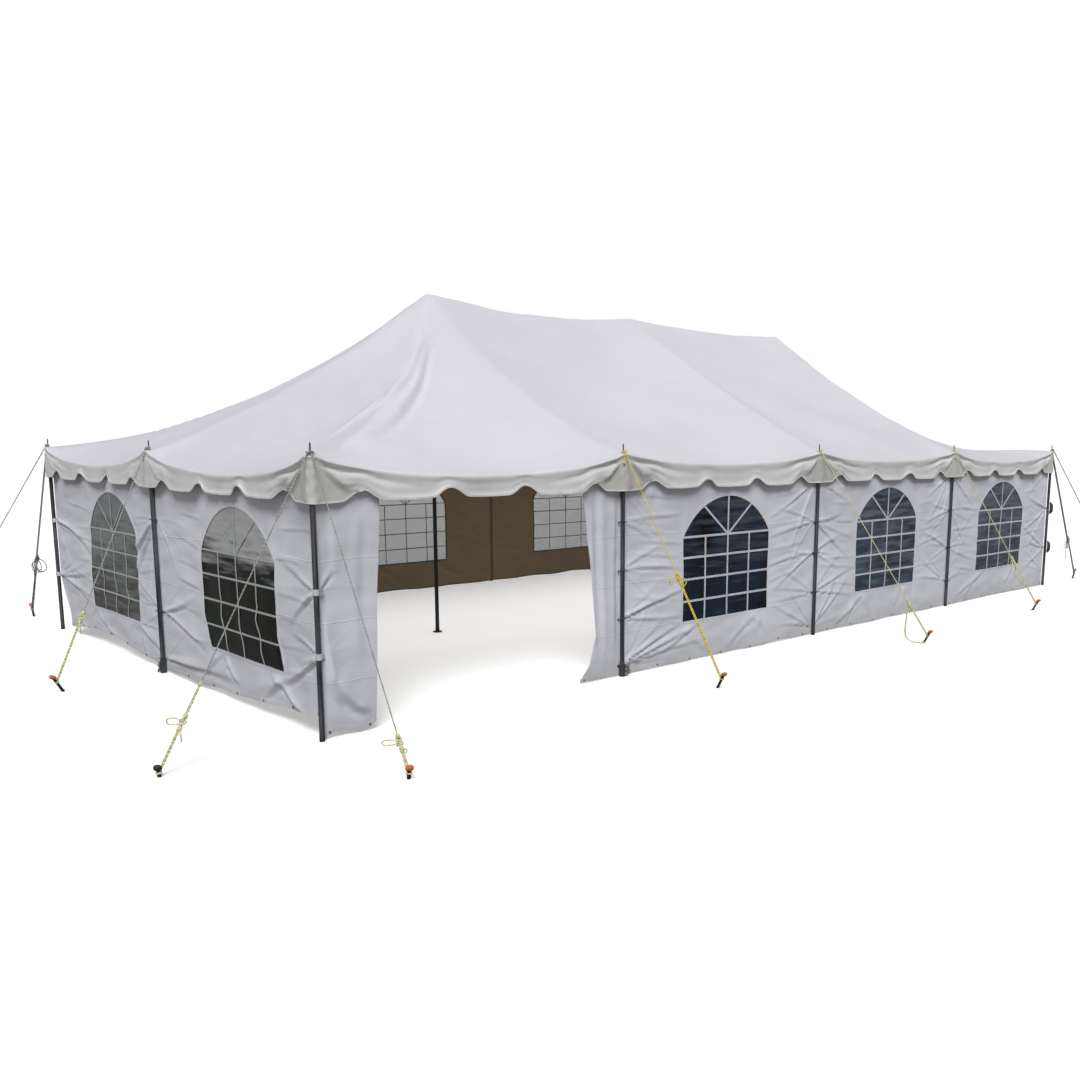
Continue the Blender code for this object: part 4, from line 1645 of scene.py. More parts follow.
@dataclass
class WallPanel:
    """One hanging wall with its windows, tapes and hem."""

    drape: WallDrape
    name: str
    node: str
    finishes: Finishes
    vinyls: tuple[ClearVinyl, ...]
    step: float = 0.035
    bar_width: float = 0.022
    bar_tape: WovenTape = BAR_TAPE
    bar_slack: float = 0.0
    shape: WindowShape = field(default_factory=WindowShape)
    thickness: float = 0.0012
    bar_heights: tuple = (1.25, 1.045, 0.83, 0.61)
    bar_sides: tuple = (-0.345, 0.345)
    above_windows: float = 1.68
    cut_height: float = 2.03
    # Share of that height by width which the sagging top edge leaves
    cut_share: float = 0.96
    pane_margin: float = 0.018
    pane_share: float = 1.06

    def grid(self) -> tuple[Points, Points]:
        """Grid of the wall's face before its windows are cut.

        Returns:
            Places along the wall and heights, each in the shape (rows, columns).
        """
        drape, shape = self.drape, self.shape
        stops = [drape.start, drape.end]
        for centre in drape.windows:
            stops += [centre - shape.width / 2, centre + shape.width / 2]
        if drape.free_start is not None and drape.start < drape.free_start < drape.end:
            stops.append(drape.free_start)
        along = spaced(stops, self.step)
        for tie in {tie.along for tie in drape.ties}:
            close = [max(tie - 0.5, drape.start), min(tie + 0.5, drape.end)]
            inner = [stop for stop in stops if close[0] < stop < close[1]]
            fine = spaced([*close, *inner], 0.55 * self.step)
            along = np.concatenate([along[(along < close[0]) | (along > close[1])], fine])
        along = np.unique(np.round(along, 6))
        rise = 0.6 * self.step
        middle = spaced([shape.bottom_z, shape.spring_z, self.above_windows], rise)
        low = np.linspace(0, 1, round(0.4 / rise))[:-1][:, None]
        high = np.linspace(0, 1, 12)[1:][:, None]
        hem, top = drape.hem(along)[None, :], drape.top(along)[None, :]
        z = np.vstack([hem + (shape.bottom_z - hem) * low, np.repeat(middle[:, None], len(along), 1),
                       self.above_windows + (top - self.above_windows) * high])
        return np.repeat(along[None, :], len(z), 0), z

    def build(self) -> bpy.types.Object:
        """Make the wall and everything sewn to it.

        Returns:
            The wall piece.
        """
        drape = self.drape
        u, z = self.grid()
        keep = np.ones((u.shape[0] - 1, u.shape[1] - 1), bool)
        mid_u = (u[1:, 1:] + u[:-1, :-1]) / 2
        mid_z = (z[1:, 1:] + z[:-1, :-1]) / 2
        for centre in drape.windows:
            hole = self.shape.holds(mid_u - centre, mid_z)
            keep &= ~hole
            rim = self.rim(hole)
            snap_u, snap_z = self.shape.snapped(u[rim] - centre, z[rim])
            u[rim], z[rim] = snap_u + centre, snap_z
        wall = self.sheet_piece(self.name, drape.stretched(u, z), z, keep, 0.0,
                                [WALL_CLOTH, INNER_FACE_SHADE_CLOTH], self.thickness)
        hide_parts(self.node)
        sewn = [self.build_trim(u, z), self.build_eyelets()]
        # The back wall's inner face also gets painted shadows of its poles
        if drape.side is Side.BACK:
            sewn.append(self.build_pole_bands())
        hole = self.window_area()
        for count, centre in enumerate(drape.windows, start=1):
            self.build_pane(centre, count)
        LOG.info("%s with %d windows", self.name, len(drape.windows))
        return wall

    def build_pole_bands(self) -> bpy.types.Object:
        """Paint the shadow of each pole, seen through the backlit cloth, as a dark strip on the inner face
        behind it.

        Returns:
            The piece with the painted pole shadows.
        """
        drape, shells = self.drape, Shells()
        half, bay = drape.plan.half(drape.side), drape.plan.bay
        for count in range(round(2 * half / bay) + 1):
            post = -half + bay * count
            u = min(max(post, drape.start + 0.03), drape.end - 0.03)
            if abs(u - post) < 0.06:
                low, high = drape.hem(np.array([u]))[0], drape.top(np.array([u]))[0]
                z = np.linspace(low + 0.02, high - 0.02, 60)
                self.lay_tape(shells, np.full(len(z), u), z, 0.045, -self.thickness - 0.0012, 0.0012)
        return shells.piece(f"{self.name}_pole_bands", self.finishes.get(POLE_SHADOW_CLOTH), "wall_sheet")

    def build_eyelets(self) -> bpy.types.Object:
        """Press a row of small eyelets into the hem.

        Returns:
            The eyelets.
        """
        drape, shells = self.drape, Shells()
        u = spaced([drape.start + 0.05, drape.end - 0.05], 0.5)
        places = drape.place(drape.stretched(u, drape.hem(u)), drape.hem(u) + 0.018, 0.002)
        for place in places:
            shells.hoop(tuple(place), Vector((*drape.side.value, 0)), 0.0075, 0.0028, 10)
        return shells.piece(f"{self.name}_eyelets", self.finishes.get(DARK_EYELET), "pole_steel")

    def window_area(self) -> float:
        """Flat area of one window.

        Returns:
            Area in square metres.
        """
        shape = self.shape
        reach = math.asin(shape.width / 2 / shape.radius)
        segment = shape.radius ** 2 * (reach - math.sin(reach) * math.cos(reach))
        return shape.width * (shape.spring_z - shape.bottom_z) + segment

    @staticmethod
    def rim(hole: Points) -> Points:
        """Grid points that lie between cut and kept faces.

        Args:
            hole: whether each face is cut.

        Returns:
            True for each grid point on the rim.
        """
        padded = np.pad(hole, 1)
        corners = np.stack([padded[:-1, :-1], padded[:-1, 1:], padded[1:, :-1], padded[1:, 1:]])
        return corners.any(0) & ~corners.all(0)

    def sheet_piece(self, name: str, u: Points, z: Points, keep: Points, lift: Points | float,
                    cloths: list, thickness: float) -> bpy.types.Object:
        """Make a thin sheet over part of the wall.

        Args:
            name: name of the piece.
            u: places along the wall.
            z: heights.
            keep: which grid faces are there.
            lift: distance outside the wall's face.
            cloths: finishes of the outer and the inner face.
            thickness: thickness in metres.

        Returns:
            The piece.
        """
        points = self.drape.place(u, z, lift)
        index = np.arange(u.size).reshape(u.shape)
        quads = np.stack([index[:-1, :-1], index[:-1, 1:], index[1:, 1:], index[1:, :-1]], axis=-1)
        if self.drape.side in (Side.BACK, Side.LEFT):
            quads = quads[..., ::-1]
        quads = quads[keep].reshape(-1, 4)
        used, compact = np.unique(quads, return_inverse=True)
        faces = compact.reshape(-1, 4).tolist()
        piece = add_piece(name, points.reshape(-1, 3)[used], faces,
                          [self.finishes.get(cloth) for cloth in cloths])
        thicken(piece, thickness)
        return piece

    def build_pane(self, centre: float, count: int) -> bpy.types.Object:
        """Weld a clear pane behind a window hole and sew the bars on it.

        Args:
            centre: middle of the window along the wall.
            count: number of the window.

        Returns:
            The pane.
        """
        shape, margin = self.shape, self.pane_margin
        vinyl = self.vinyls[(count - 1) % len(self.vinyls)]
        half = shape.width / 2 + margin
        step = self.step * 1.4
        along = spaced([-half, half], step)
        rows = spaced([shape.bottom_z - margin, shape.spring_z, shape.spring_z + shape.rise + margin], step)
        u, z = np.meshgrid(along, rows)
        hole = shape.holds((u[1:, 1:] + u[:-1, :-1]) / 2, (z[1:, 1:] + z[:-1, :-1]) / 2, margin)
        rim = self.rim(hole) & (z > shape.spring_z)
        u[rim], z[rim] = shape.snapped(u[rim], z[rim], margin)
        ripple = 0.0018 * swell(u + centre, z * 3.5, 0.4, 70 + count) * shape.holds(u, z, -0.05)
        pane = self.sheet_piece(f"{self.drape.side.word}_pane_{count}", u + centre, z, hole,
                                ripple - 0.003, [vinyl, vinyl], 0.0006)
        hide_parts(f"{self.drape.side.word}_window_{count}")
        bars = self.build_bars(centre, count)
        return pane

    def lay_tape(self, shells: Shells, u: Points, z: Points, width: float, lift: float,
                 thickness: float, closed: bool = False) -> None:
        """Lay a tape on the wall along a line.

        Args:
            shells: where the tape goes.
            u: places along the wall.
            z: heights.
            width: width of the tape.
            lift: distance of its middle outside the wall's face.
            thickness: its thickness.
            closed: whether it joins its own start.
        """
        line = np.column_stack([u, z])
        step = np.roll(line, -1, 0) - np.roll(line, 1, 0) if closed else np.gradient(line, axis=0)
        step /= np.linalg.norm(step, axis=1, keepdims=True)
        across_u, across_z = step[:, 1] * width / 2, step[:, 0] * width / 2
        left = self.drape.place(u - across_u, z + across_z, lift)
        right = self.drape.place(u + across_u, z - across_z, lift)
        across = left - right
        across /= np.linalg.norm(across, axis=1, keepdims=True)
        out = np.array([*self.drape.side.value, 0.0])
        shells.ribbon((left + right) / 2, across, out, width, thickness, closed)

    def build_bars(self, centre: float, count: int) -> bpy.types.Object:
        """Sew the crossed white tapes over a pane.

        Args:
            centre: middle of the window along the wall.
            count: number of the window.

        Returns:
            The piece with all the tapes.
        """
        shape, shells = self.shape, Shells()
        half, width = shape.width / 2, self.bar_width
        for z in self.bar_heights:
            u = spaced([-half, half], self.step)
            self.lay_tape(shells, u + centre, np.full(len(u), z), width, 0.0005, 0.0016)
        for u, top in ((0.0, shape.spring_z + shape.rise), *((s, shape.spring_z) for s in self.bar_sides)):
            z = spaced([shape.bottom_z, top], self.step)
            bent = self.bar_slack * ease(0.95 - z, 0.0, 0.2) * swell(u + 0 * z, z, 0.3, 90 + count)
            self.lay_tape(shells, u + centre + bent, z, width, 0.0012, 0.0016)
        for way in (-1, 1):
            share = np.linspace(0.02, 1, 16)
            u, z = centre + way * 0.375 * share, shape.spring_z + 0.30 * share
            self.lay_tape(shells, u, z, width, 0.0019, 0.0016)
        name = f"{self.drape.side.word}_bars_{count}"
        return shells.piece(name, self.finishes.get(self.bar_tape), "window_bars")

    def build_trim(self, u: Points, z: Points) -> bpy.types.Object:
        """Sew the welts round the windows, the hem and the edges of the cloth.

        Args:
            u: grid places along the wall.
            z: grid heights.

        Returns:
            The piece with all the trim.
        """
        drape, shells = self.drape, Shells()
        for centre in drape.windows:
            out_u, out_z = self.shape.outline()
            grown_u, grown_z = self.shape.snapped(out_u, out_z, 0.010)
            self.lay_tape(shells, grown_u + centre, grown_z, 0.024, 0.0011, 0.0018, closed=True)
        along = drape.stretched(u[0], z[0])
        self.lay_tape(shells, along, z[0] + 0.018, 0.034, 0.0008, 0.0014)
        for column in (0, -1):
            edge = drape.stretched(u[:, column], z[:, column])
            inward = 0.014 if column == 0 else -0.014
            self.lay_tape(shells, edge + inward, z[:, column], 0.024, 0.0009, 0.0014)
        return shells.piece(f"{self.name}_trim", self.finishes.get(WALL_CLOTH), "wall_sheet")


# Poles and what is tied to them

@dataclass
class SidePoles:
    """Galvanised side poles with a pin through the roof's eyelet."""

    plan: TentPlan
    finishes: Finishes

    def build(self) -> None:
        """Stand each pole and press its eyelet into the roof."""
        plan = self.plan
        top = plan.eave_z - HEAD_GAP
        radius = plan.pole_radius
        profile = [(0.019, 0.0), (radius, 0.003), (radius, 0.045), (radius - 0.001, 0.048),
                   (radius - 0.001, 0.98), (radius, 0.985), (radius, 1.03), (radius - 0.001, 1.035),
                   (radius - 0.001, top - 0.05), (radius, top - 0.047), (radius, top - 0.006),
                   (radius - 0.003, top), (0.006, top), (0.006, plan.eave_z + 0.08),
                   (0.0045, plan.eave_z + 0.087), (0.002, plan.eave_z + 0.09)]
        for name, place in plan.pole_places().items():
            shells = Shells()
            shells.turned(profile, place)
            pole = shells.piece(f"pole_{name}", self.finishes.get(POLE_ZINC), "pole_steel")
            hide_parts(f"side_pole_{name}")
        eyelets = Shells()
        for x, y in plan.pole_places().values():
            eyelets.hoop((x, y, plan.eave_z + 0.001), UP, 0.0125, 0.0035)
        eyelets.piece("roof_eyelets", self.finishes.get(EYELET_ZINC), "pole_steel")
        LOG.info("side poles and their eyelets")


@dataclass
class CentrePoles:
    """Centre poles on round feet, with a domed head under the roof, painted near black as shade."""

    plan: TentPlan
    finishes: Finishes

    def build(self) -> None:
        """Stand the three poles."""
        top = self.plan.peak_z - HEAD_GAP
        tube, sleeve = 0.0215, 0.0235
        profile = [(0.050, 0.0), (0.052, 0.002), (0.052, 0.008), (0.050, 0.010), (sleeve, 0.010),
                   (sleeve, 0.06), (tube, 0.062), (tube, 1.83), (sleeve, 1.835), (sleeve, 1.93),
                   (tube, 1.935), (tube, top - 0.14), (0.026, top - 0.12), (0.029, top - 0.1),
                   (0.029, top - 0.01), (0.024, top)]
        for count, x in enumerate((-self.plan.bay, 0.0, self.plan.bay), start=1):
            shells = Shells()
            shells.turned(profile, (x, 0.0), sides=28)
            pole = shells.piece(f"ridge_pole_{count}", self.finishes.get(CENTRE_POLE_SHADE), "pole_steel")
            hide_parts(f"centre_pole_{count}")
        LOG.info("centre poles")


class TieKind(Enum):
    """Ways in which a wall is tied to a pole."""

    WHITE_STRAP = "white_strap"
    DARK_CLIP = "dark_clip"
    DARK_BUNDLE = "dark_bundle"


@dataclass
class PoleTies:
    """Straps and clips that hold the walls to one pole."""

    plan: TentPlan
    finishes: Finishes
    pole: str
    heights: tuple[float, ...]
    kind: TieKind

    def build(self) -> None:
        """Make all the ties of the pole as one piece."""
        x, y = self.plan.pole_places()[self.pole]
        shells = Shells()
        corner = "corner" in self.pole
        front_or_back = abs(y) > 0.1
        run = Vector((1, 0, 0)) if front_or_back else Vector((0, 1, 0))
        out = Vector((0, math.copysign(1, y), 0)) if front_or_back else Vector((math.copysign(1, x), 0, 0))
        radius = self.plan.pole_radius
        for number, z in enumerate(self.heights):
            width = 0.045 if self.kind is TieKind.WHITE_STRAP else 0.010
            band = [(radius + 0.0004, z - width / 2), (radius + 0.0040, z - width / 2 + 0.001),
                    (radius + 0.0040, z + width / 2 - 0.001), (radius + 0.0004, z + width / 2)]
            shells.turned(band, (x, y), sides=20)
            ways = (-1, 1) if not corner else ((1,) if x < 0 else (-1,))
            at, low = Vector((x, y, z)), Vector((x, y, z - 0.006))
            for way in ways:
                start = at + run * way * radius + out * 0.002
                end = low + run * way * (0.030 + width * 0.7) - out * (radius - 0.003)
                path = flowing([start, start.lerp(end, 0.5) + out * 0.006, end], 0.012)
                shells.ribbon(path, np.array(UP), np.array(out), width * 0.8, 0.003)
                shells.hoop(end + out * 0.002, out, 0.008, 0.0025, 10)
            if corner:
                side, face = Vector((0, -math.copysign(1, y), 0)), Vector((math.copysign(1, x), 0, 0))
                start, end = at + side * radius, low - face * (radius - 0.003) + side * 0.062
                path = flowing([start, start.lerp(end, 0.5), end], 0.012)
                shells.ribbon(path, np.array(UP), np.array(face), width * 0.8, 0.003)
            if self.kind is TieKind.DARK_CLIP:
                near, reach = at + out * (radius + 0.004), run * 0.032
                path = [near - reach, at + UP * 0.003 + out * (radius + 0.009), near + reach]
                shells.tube(flowing(path, 0.01), 0.0042, sides=6)
            if self.kind is TieKind.DARK_BUNDLE:
                away = (out + run * (1 if x > 0 else -1)).normalized()
                middle = at + away * 0.034
                rope = flowing([middle + UP * 0.09, middle + away * 0.02 + UP * 0.04,
                                middle + away * 0.022 - UP * 0.03, middle - UP * 0.09], 0.012)
                share = np.linspace(0, 1, len(rope))
                shells.tube(rope, np.interp(share, (0, 0.25, 0.75, 1), (0.008, 0.024, 0.026, 0.01)))
            if number == len(self.heights) - 1 and z < 0.2:
                # What is left of the lowest tie is knotted beside the pole's foot
                self.build_foot_bundle(Vector((x, y, 0.0)), run, out)
                shells.turned([(radius + 0.001, 0.0), (radius + 0.009, 0.004), (radius + 0.010, 0.09),
                               (radius + 0.001, 0.14)], (x, y), 18)
        tape = STRAP_TAPE if self.kind is TieKind.WHITE_STRAP else DARK_STRAP_TAPE
        shells.piece(f"ties_{self.pole}", self.finishes.get(tape), "tie_webbing")

    def build_foot_bundle(self, foot: Vector, run: Vector, out: Vector) -> None:
        """Knot what is left of the lowest tie beside the pole's foot.

        Args:
            foot: middle of the pole's foot.
            run: unit direction along the wall.
            out: outward direction.
        """
        bundle = Shells()
        for height, size in ((0.035, 0.036), (0.075, 0.024)):
            bundle.knot(foot + run * 0.046 + out * 0.012 + UP * height, UP, run, size, 0.008)
        bundle.piece(f"foot_tie_{self.pole}", self.finishes.get(FOOT_TAPE), "tie_webbing")


# Guy ropes

@dataclass(frozen=True)
class GuyStyle:
    """How one guy rope is tied off."""

    upper: LaidRope
    lower: LaidRope
    knot_share: float
    loops: int = 1
    tail: float = 0.12
    pin_wraps: int = 2
    pin_tail: float = 0.0
    slack_loop: bool = False
    loop_size: float = 0.056
    loop_side: int = -1
    loop_fall: float = 0.1
    loop_out: float = 0.0
    loop_width: float = 1.0
    strands: int = 1
    doubled_above: float = 0.0
    cap: SprayedCoat = CAP_PLASTIC
    sunk: float = 0.0
    lean: float = 0.55


@dataclass
class GuyLine:
    """A guy rope from its pin over the roof's edge to its stake."""

    plan: TentPlan
    finishes: Finishes
    name: str
    pole: tuple[float, float]
    outward: tuple[float, float]
    stake: tuple[float, float]
    style: GuyStyle
    rope_radius: float = 0.0046
    lay: float = 0.09
    rope_on_stake_z: float = 0.085
    over_eave: float = 0.0053
    edge_reach: float = 0.026
    wrap_radius: float = 0.0118
    stake_height: float = 0.116

    def lay_rope(self, shells: Shells, path: Points | list, size: float = 1.0, step: float = 0.0) -> None:
        """Lay rope along a path.

        Args:
            shells: where the rope goes.
            path: points it passes through.
            size: its radius as a share of this guy's.
            step: distance between samples where the path is smoothed, or 0 to take it as it is.
        """
        shells.tube(flowing(path, step) if step else path, self.rope_radius * size, self.lay)

    def build(self) -> None:
        """Make the rope, the stake and its cap."""
        out = Vector((*self.outward, 0))
        side = Vector((-out.y, out.x, 0))
        pin = Vector((*self.pole, self.plan.eave_z))
        edge = Vector((*self.pole, self.plan.eave_z + self.over_eave)) + out * self.edge_reach
        lean = out * self.style.lean
        foot = Vector((*self.stake, 0))
        tied_z = self.rope_on_stake_z - 0.8 * self.style.sunk
        held = foot + lean * tied_z + UP * tied_z
        knot = edge.lerp(held, self.style.knot_share)
        upper, lower = Shells(), Shells()
        self.upper_rope(upper, pin, out, side, edge, knot)
        self.lower_rope(lower, knot, held, side, out)
        low_rope = lower.piece(f"tail_rope_{self.name}", self.finishes.get(self.style.lower), "guy_rope")
        rope = upper.piece(f"rope_{self.name}", self.finishes.get(self.style.upper), "guy_rope")
        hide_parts(f"guy_{self.name}")
        self.build_stake(lean)
        points = len(rope.data.vertices) + len(low_rope.data.vertices)
        LOG.info("guy %s with %d points of rope", self.name, points)

    def upper_rope(self, shells: Shells, pin: Vector, out: Vector, side: Vector, edge: Vector,
                   knot: Vector) -> None:
        """Wrap the rope round its pin and lead it to the hitch.

        Args:
            shells: where the rope goes.
            pin: place of the pin at eave height.
            out: outward direction.
            side: direction along the tent's edge.
            edge: point over the roof's edge.
            knot: place of the hitch.
        """
        turns = self.style.pin_wraps
        wrap = []
        for k in range(turns * 10 + 1):
            angle = 2 * math.pi * k / 10
            ray = out * math.cos(angle) + side * math.sin(angle)
            wobble = 0.003 * math.sin(1.7 * k) + 0.002 * math.sin(0.9 * k)
            wrap.append(pin + ray * (self.wrap_radius + wobble) + UP * (0.006 + 0.0075 * (turns - k / 10)))
        line = flowing([*wrap, pin + out * 0.018 + side * 0.006 + UP * 0.007, edge], 0.006)
        straight = np.array([edge.lerp(knot, k / 150) for k in range(1, 151)])
        self.lay_rope(shells, np.vstack([line, straight]))
        for number in range(1, self.style.strands):
            self.lay_rope(shells, straight + np.array(side) * 0.0105 * number, 1.15)
        shells.knot(pin + out * 0.022 + side * 0.003 + UP * 0.012, UP, side, 0.017, self.rope_radius)
        if self.style.pin_tail:
            start = edge + UP * 0.004 - side * 0.004
            drop = UP * self.style.pin_tail
            tail = [pin + out * 0.03 + UP * 0.02, start + out * 0.006,
                    start + out * 0.012 - side * 0.018 - drop * 0.45,
                    start + out * 0.016 - side * 0.022 - drop]
            self.lay_rope(shells, tail, step=0.006)
            shells.knot(tail[-1], (knot - edge).normalized(), side, 0.009, self.rope_radius)

    def lower_rope(self, shells: Shells, knot: Vector, held: Vector, side: Vector, out: Vector) -> None:
        """Double the rope round the stake and hitch it to itself.

        Args:
            shells: where the rope goes.
            knot: place of the hitch.
            held: place on the stake.
            side: direction along the tent's edge.
            out: outward direction.
        """
        down = (held - knot).normalized()
        length = (held - knot).length
        steps = max(12, int(length / 0.02))
        for way, front in ((-1, 0.0), (1, 0.0), (0, 0.008)):
            strand = [knot.lerp(held, k / steps) + side * way * (0.0065 + 0.003 * k / steps) + out * front
                      for k in range(steps + 1)]
            self.lay_rope(shells, strand, 1.3)
        if self.style.slack_loop:
            below = Vector((knot.x, knot.y, 0)) - side * 0.02
            foot = Vector((held.x, held.y, 0)) - out * 0.02
            rest = UP * (self.rope_radius * 1.4)
            for shift in (0.0, 0.012):
                drop = [knot - side * shift, knot.lerp(below, 0.35) - side * (0.012 + shift),
                        knot.lerp(below, 0.75) - side * (0.016 + shift), below.lerp(foot, 0.15) + rest * 5,
                        below.lerp(foot, 0.5) + rest + out * shift,
                        below.lerp(foot, 0.85) + rest + out * shift, foot + rest * 4]
                self.lay_rope(shells, drop, 1.3, 0.015)
        eye = []
        for k in range(21):
            angle = 2 * math.pi * (k / 20) * 1.5
            ray = out * 0.0175 * math.cos(angle) + side * 0.0175 * math.sin(angle)
            eye.append(held + ray + UP * (0.006 * k / 20))
        self.lay_rope(shells, eye, step=0.006)
        lift = down.cross(side).normalized()
        shells.knot(knot + down * 0.012, down, side, 0.027, self.rope_radius * 1.3)
        for start, turns, size in ((-0.035, 3, 0.0115), (0.05, 4, 0.0115)):
            coil = []
            for k in range(turns * 8 + 1):
                angle = 2 * math.pi * k / 8
                coil.append(knot + down * (start + 0.0088 * k / 8)
                            + (side * math.cos(angle) + lift * math.sin(angle)) * size)
            self.lay_rope(shells, coil, step=0.006)
        for way in (-1, 1) if self.style.doubled_above else ():
            strand = [knot - down * self.style.doubled_above * k / 14 + side * way * (0.0098 - 0.0002 * k)
                      for k in range(15)]
            self.lay_rope(shells, strand, 1.2)
        pick = random.Random(self.name)
        for number in range(self.style.loops):
            way = self.style.loop_side * (-1 if number % 2 else 1)
            size = self.style.loop_size * pick.uniform(0.9, 1.1)
            turn = self.style.loop_fall + pick.uniform(-0.4, 0.4)
            start = knot + down * 0.02
            ray = side * way * math.cos(turn) - UP * math.sin(turn)
            ray = (ray + out * (self.style.loop_out + pick.uniform(-0.2, 0.2))).normalized()
            drop = ray.cross(out).normalized() * way * self.style.loop_width
            bends = ((0.8, -0.5), (1.7, -0.15), (1.6, 0.6), (0.7, 0.5))
            loop = [start, *(start + ray * size * far + drop * size * low for far, low in bends), start]
            self.lay_rope(shells, loop, step=0.008)
        if self.style.tail:
            start = knot + down * 0.045
            tail = [start, start + side * 0.02 + out * 0.015 - UP * 0.02,
                    start + side * 0.035 + out * 0.018 - UP * (self.style.tail * 0.6),
                    start + side * 0.028 + out * 0.012 - UP * self.style.tail]
            self.lay_rope(shells, tail, 1.1, 0.01)

    def build_stake(self, lean: Vector) -> None:
        """Drive the stake and press its cap on.

        Args:
            lean: sideways travel for each metre of height.
        """
        tilt = (lean.x, lean.y)
        top = self.stake_height - self.style.sunk
        shells = Shells()
        bar = [(0.013, 0.0), (0.0135, 0.004), (0.0135, top), (0.018, top + 0.002), (0.018, top + 0.012)]
        shells.turned(bar, self.stake, 14, tilt)
        shells.piece(f"stake_{self.name}", self.finishes.get(STAKE_PAINT), "stake_steel")
        cap = Shells()
        rings = ((0.021, 0.006), (0.0255, 0.009), (0.027, 0.020), (0.025, 0.031), (0.018, 0.038),
                 (0.008, 0.041))
        cap.turned([(radius, top + rise) for radius, rise in rings], self.stake, 18, tilt)
        cap.piece(f"cap_{self.name}", self.finishes.get(self.style.cap), "stake_cap")


# The tent

# Folds of the walls as seen. A row holds the start and the end, each as distance from the pole and
# height, then the fold's height, width and bow, and whether it fans out from its start.
FRONT_FOLDS = (
    (-0.10, 1.95, -0.12, 0.1, 0.016, 0.07, 0.01), (-0.25, 1.9, -0.20, 0.12, 0.020, 0.08, -0.01),
    (-0.40, 1.7, -0.33, 0.2, 0.012, 0.06, 0.02), (0.03, 1.45, 0.88, 1.49, 0.014, 0.028, 0.01, True),
    (0.03, 1.44, 0.50, 1.22, 0.012, 0.045, 0.02, True), (0.03, 1.00, 0.90, 0.94, 0.026, 0.042, 0.03, True),
    (0.03, 0.55, 0.90, 0.76, 0.032, 0.046, 0.01, True), (0.03, 0.54, 0.90, 0.47, 0.018, 0.034, -0.01, True),
    (0.03, 0.12, 0.88, 0.42, 0.032, 0.044, 0.02, True), (0.03, 0.11, 1.15, 0.38, 0.028, 0.046, 0.00, True),
    (0.03, 0.10, 1.20, 0.20, 0.022, 0.040, 0.02, True))
# The left wall's tables are for its front pole, its middle pole and its back pole
LEFT_FOLDS = {
    -1: ((0.03, 1.11, 0.65, 1.32, 0.014, 0.06, -0.02, True),
         (0.03, 1.09, 0.48, 0.80, 0.028, 0.06, 0.02, True),
         (0.03, 0.64, 0.45, 0.74, 0.018, 0.035, 0.02, True),
         (0.03, 0.62, 0.40, 0.52, 0.016, 0.035, -0.01, True),
         (0.03, 0.61, 1.25, 0.22, 0.026, 0.09, -0.05, True)),
    0: ((-0.03, 0.59, -0.9, 0.85, 0.022, 0.06, 0.03, True),
        (-0.03, 0.59, -1.0, 0.36, 0.022, 0.07, -0.03, True),
        (-0.03, 0.14, -1.6, 0.20, 0.028, 0.08, -0.02, True),
        (0.03, 1.44, 1.2, 0.98, 0.030, 0.09, -0.08, True),
        (0.03, 1.44, 0.9, 0.72, 0.024, 0.08, -0.04, True),
        (0.03, 1.44, 0.45, 0.35, 0.018, 0.06, 0.0, True)),
    1: ((-0.03, 1.25, -1.3, 0.92, 0.028, 0.08, -0.06, True),
        (-0.03, 0.64, -1.2, 0.80, 0.024, 0.07, 0.03, True),
        (-0.03, 0.64, -1.1, 0.42, 0.022, 0.07, -0.03, True))}
FLAP_FOLDS = (
    (0.12, 1.9, 0.18, 1.15, 0.010, 0.06, 0.02), (0.36, 1.8, 0.33, 0.5, 0.008, 0.08, -0.02),
    (0.03, 1.10, 0.15, 1.26, 0.022, 0.05, 0.0, True), (0.07, 1.02, 0.17, 0.30, 0.022, 0.07, -0.04),
    (0.15, 0.48, 0.43, 0.14, 0.026, 0.07, -0.05), (0.03, 0.63, 0.18, 0.22, 0.018, 0.05, -0.02))


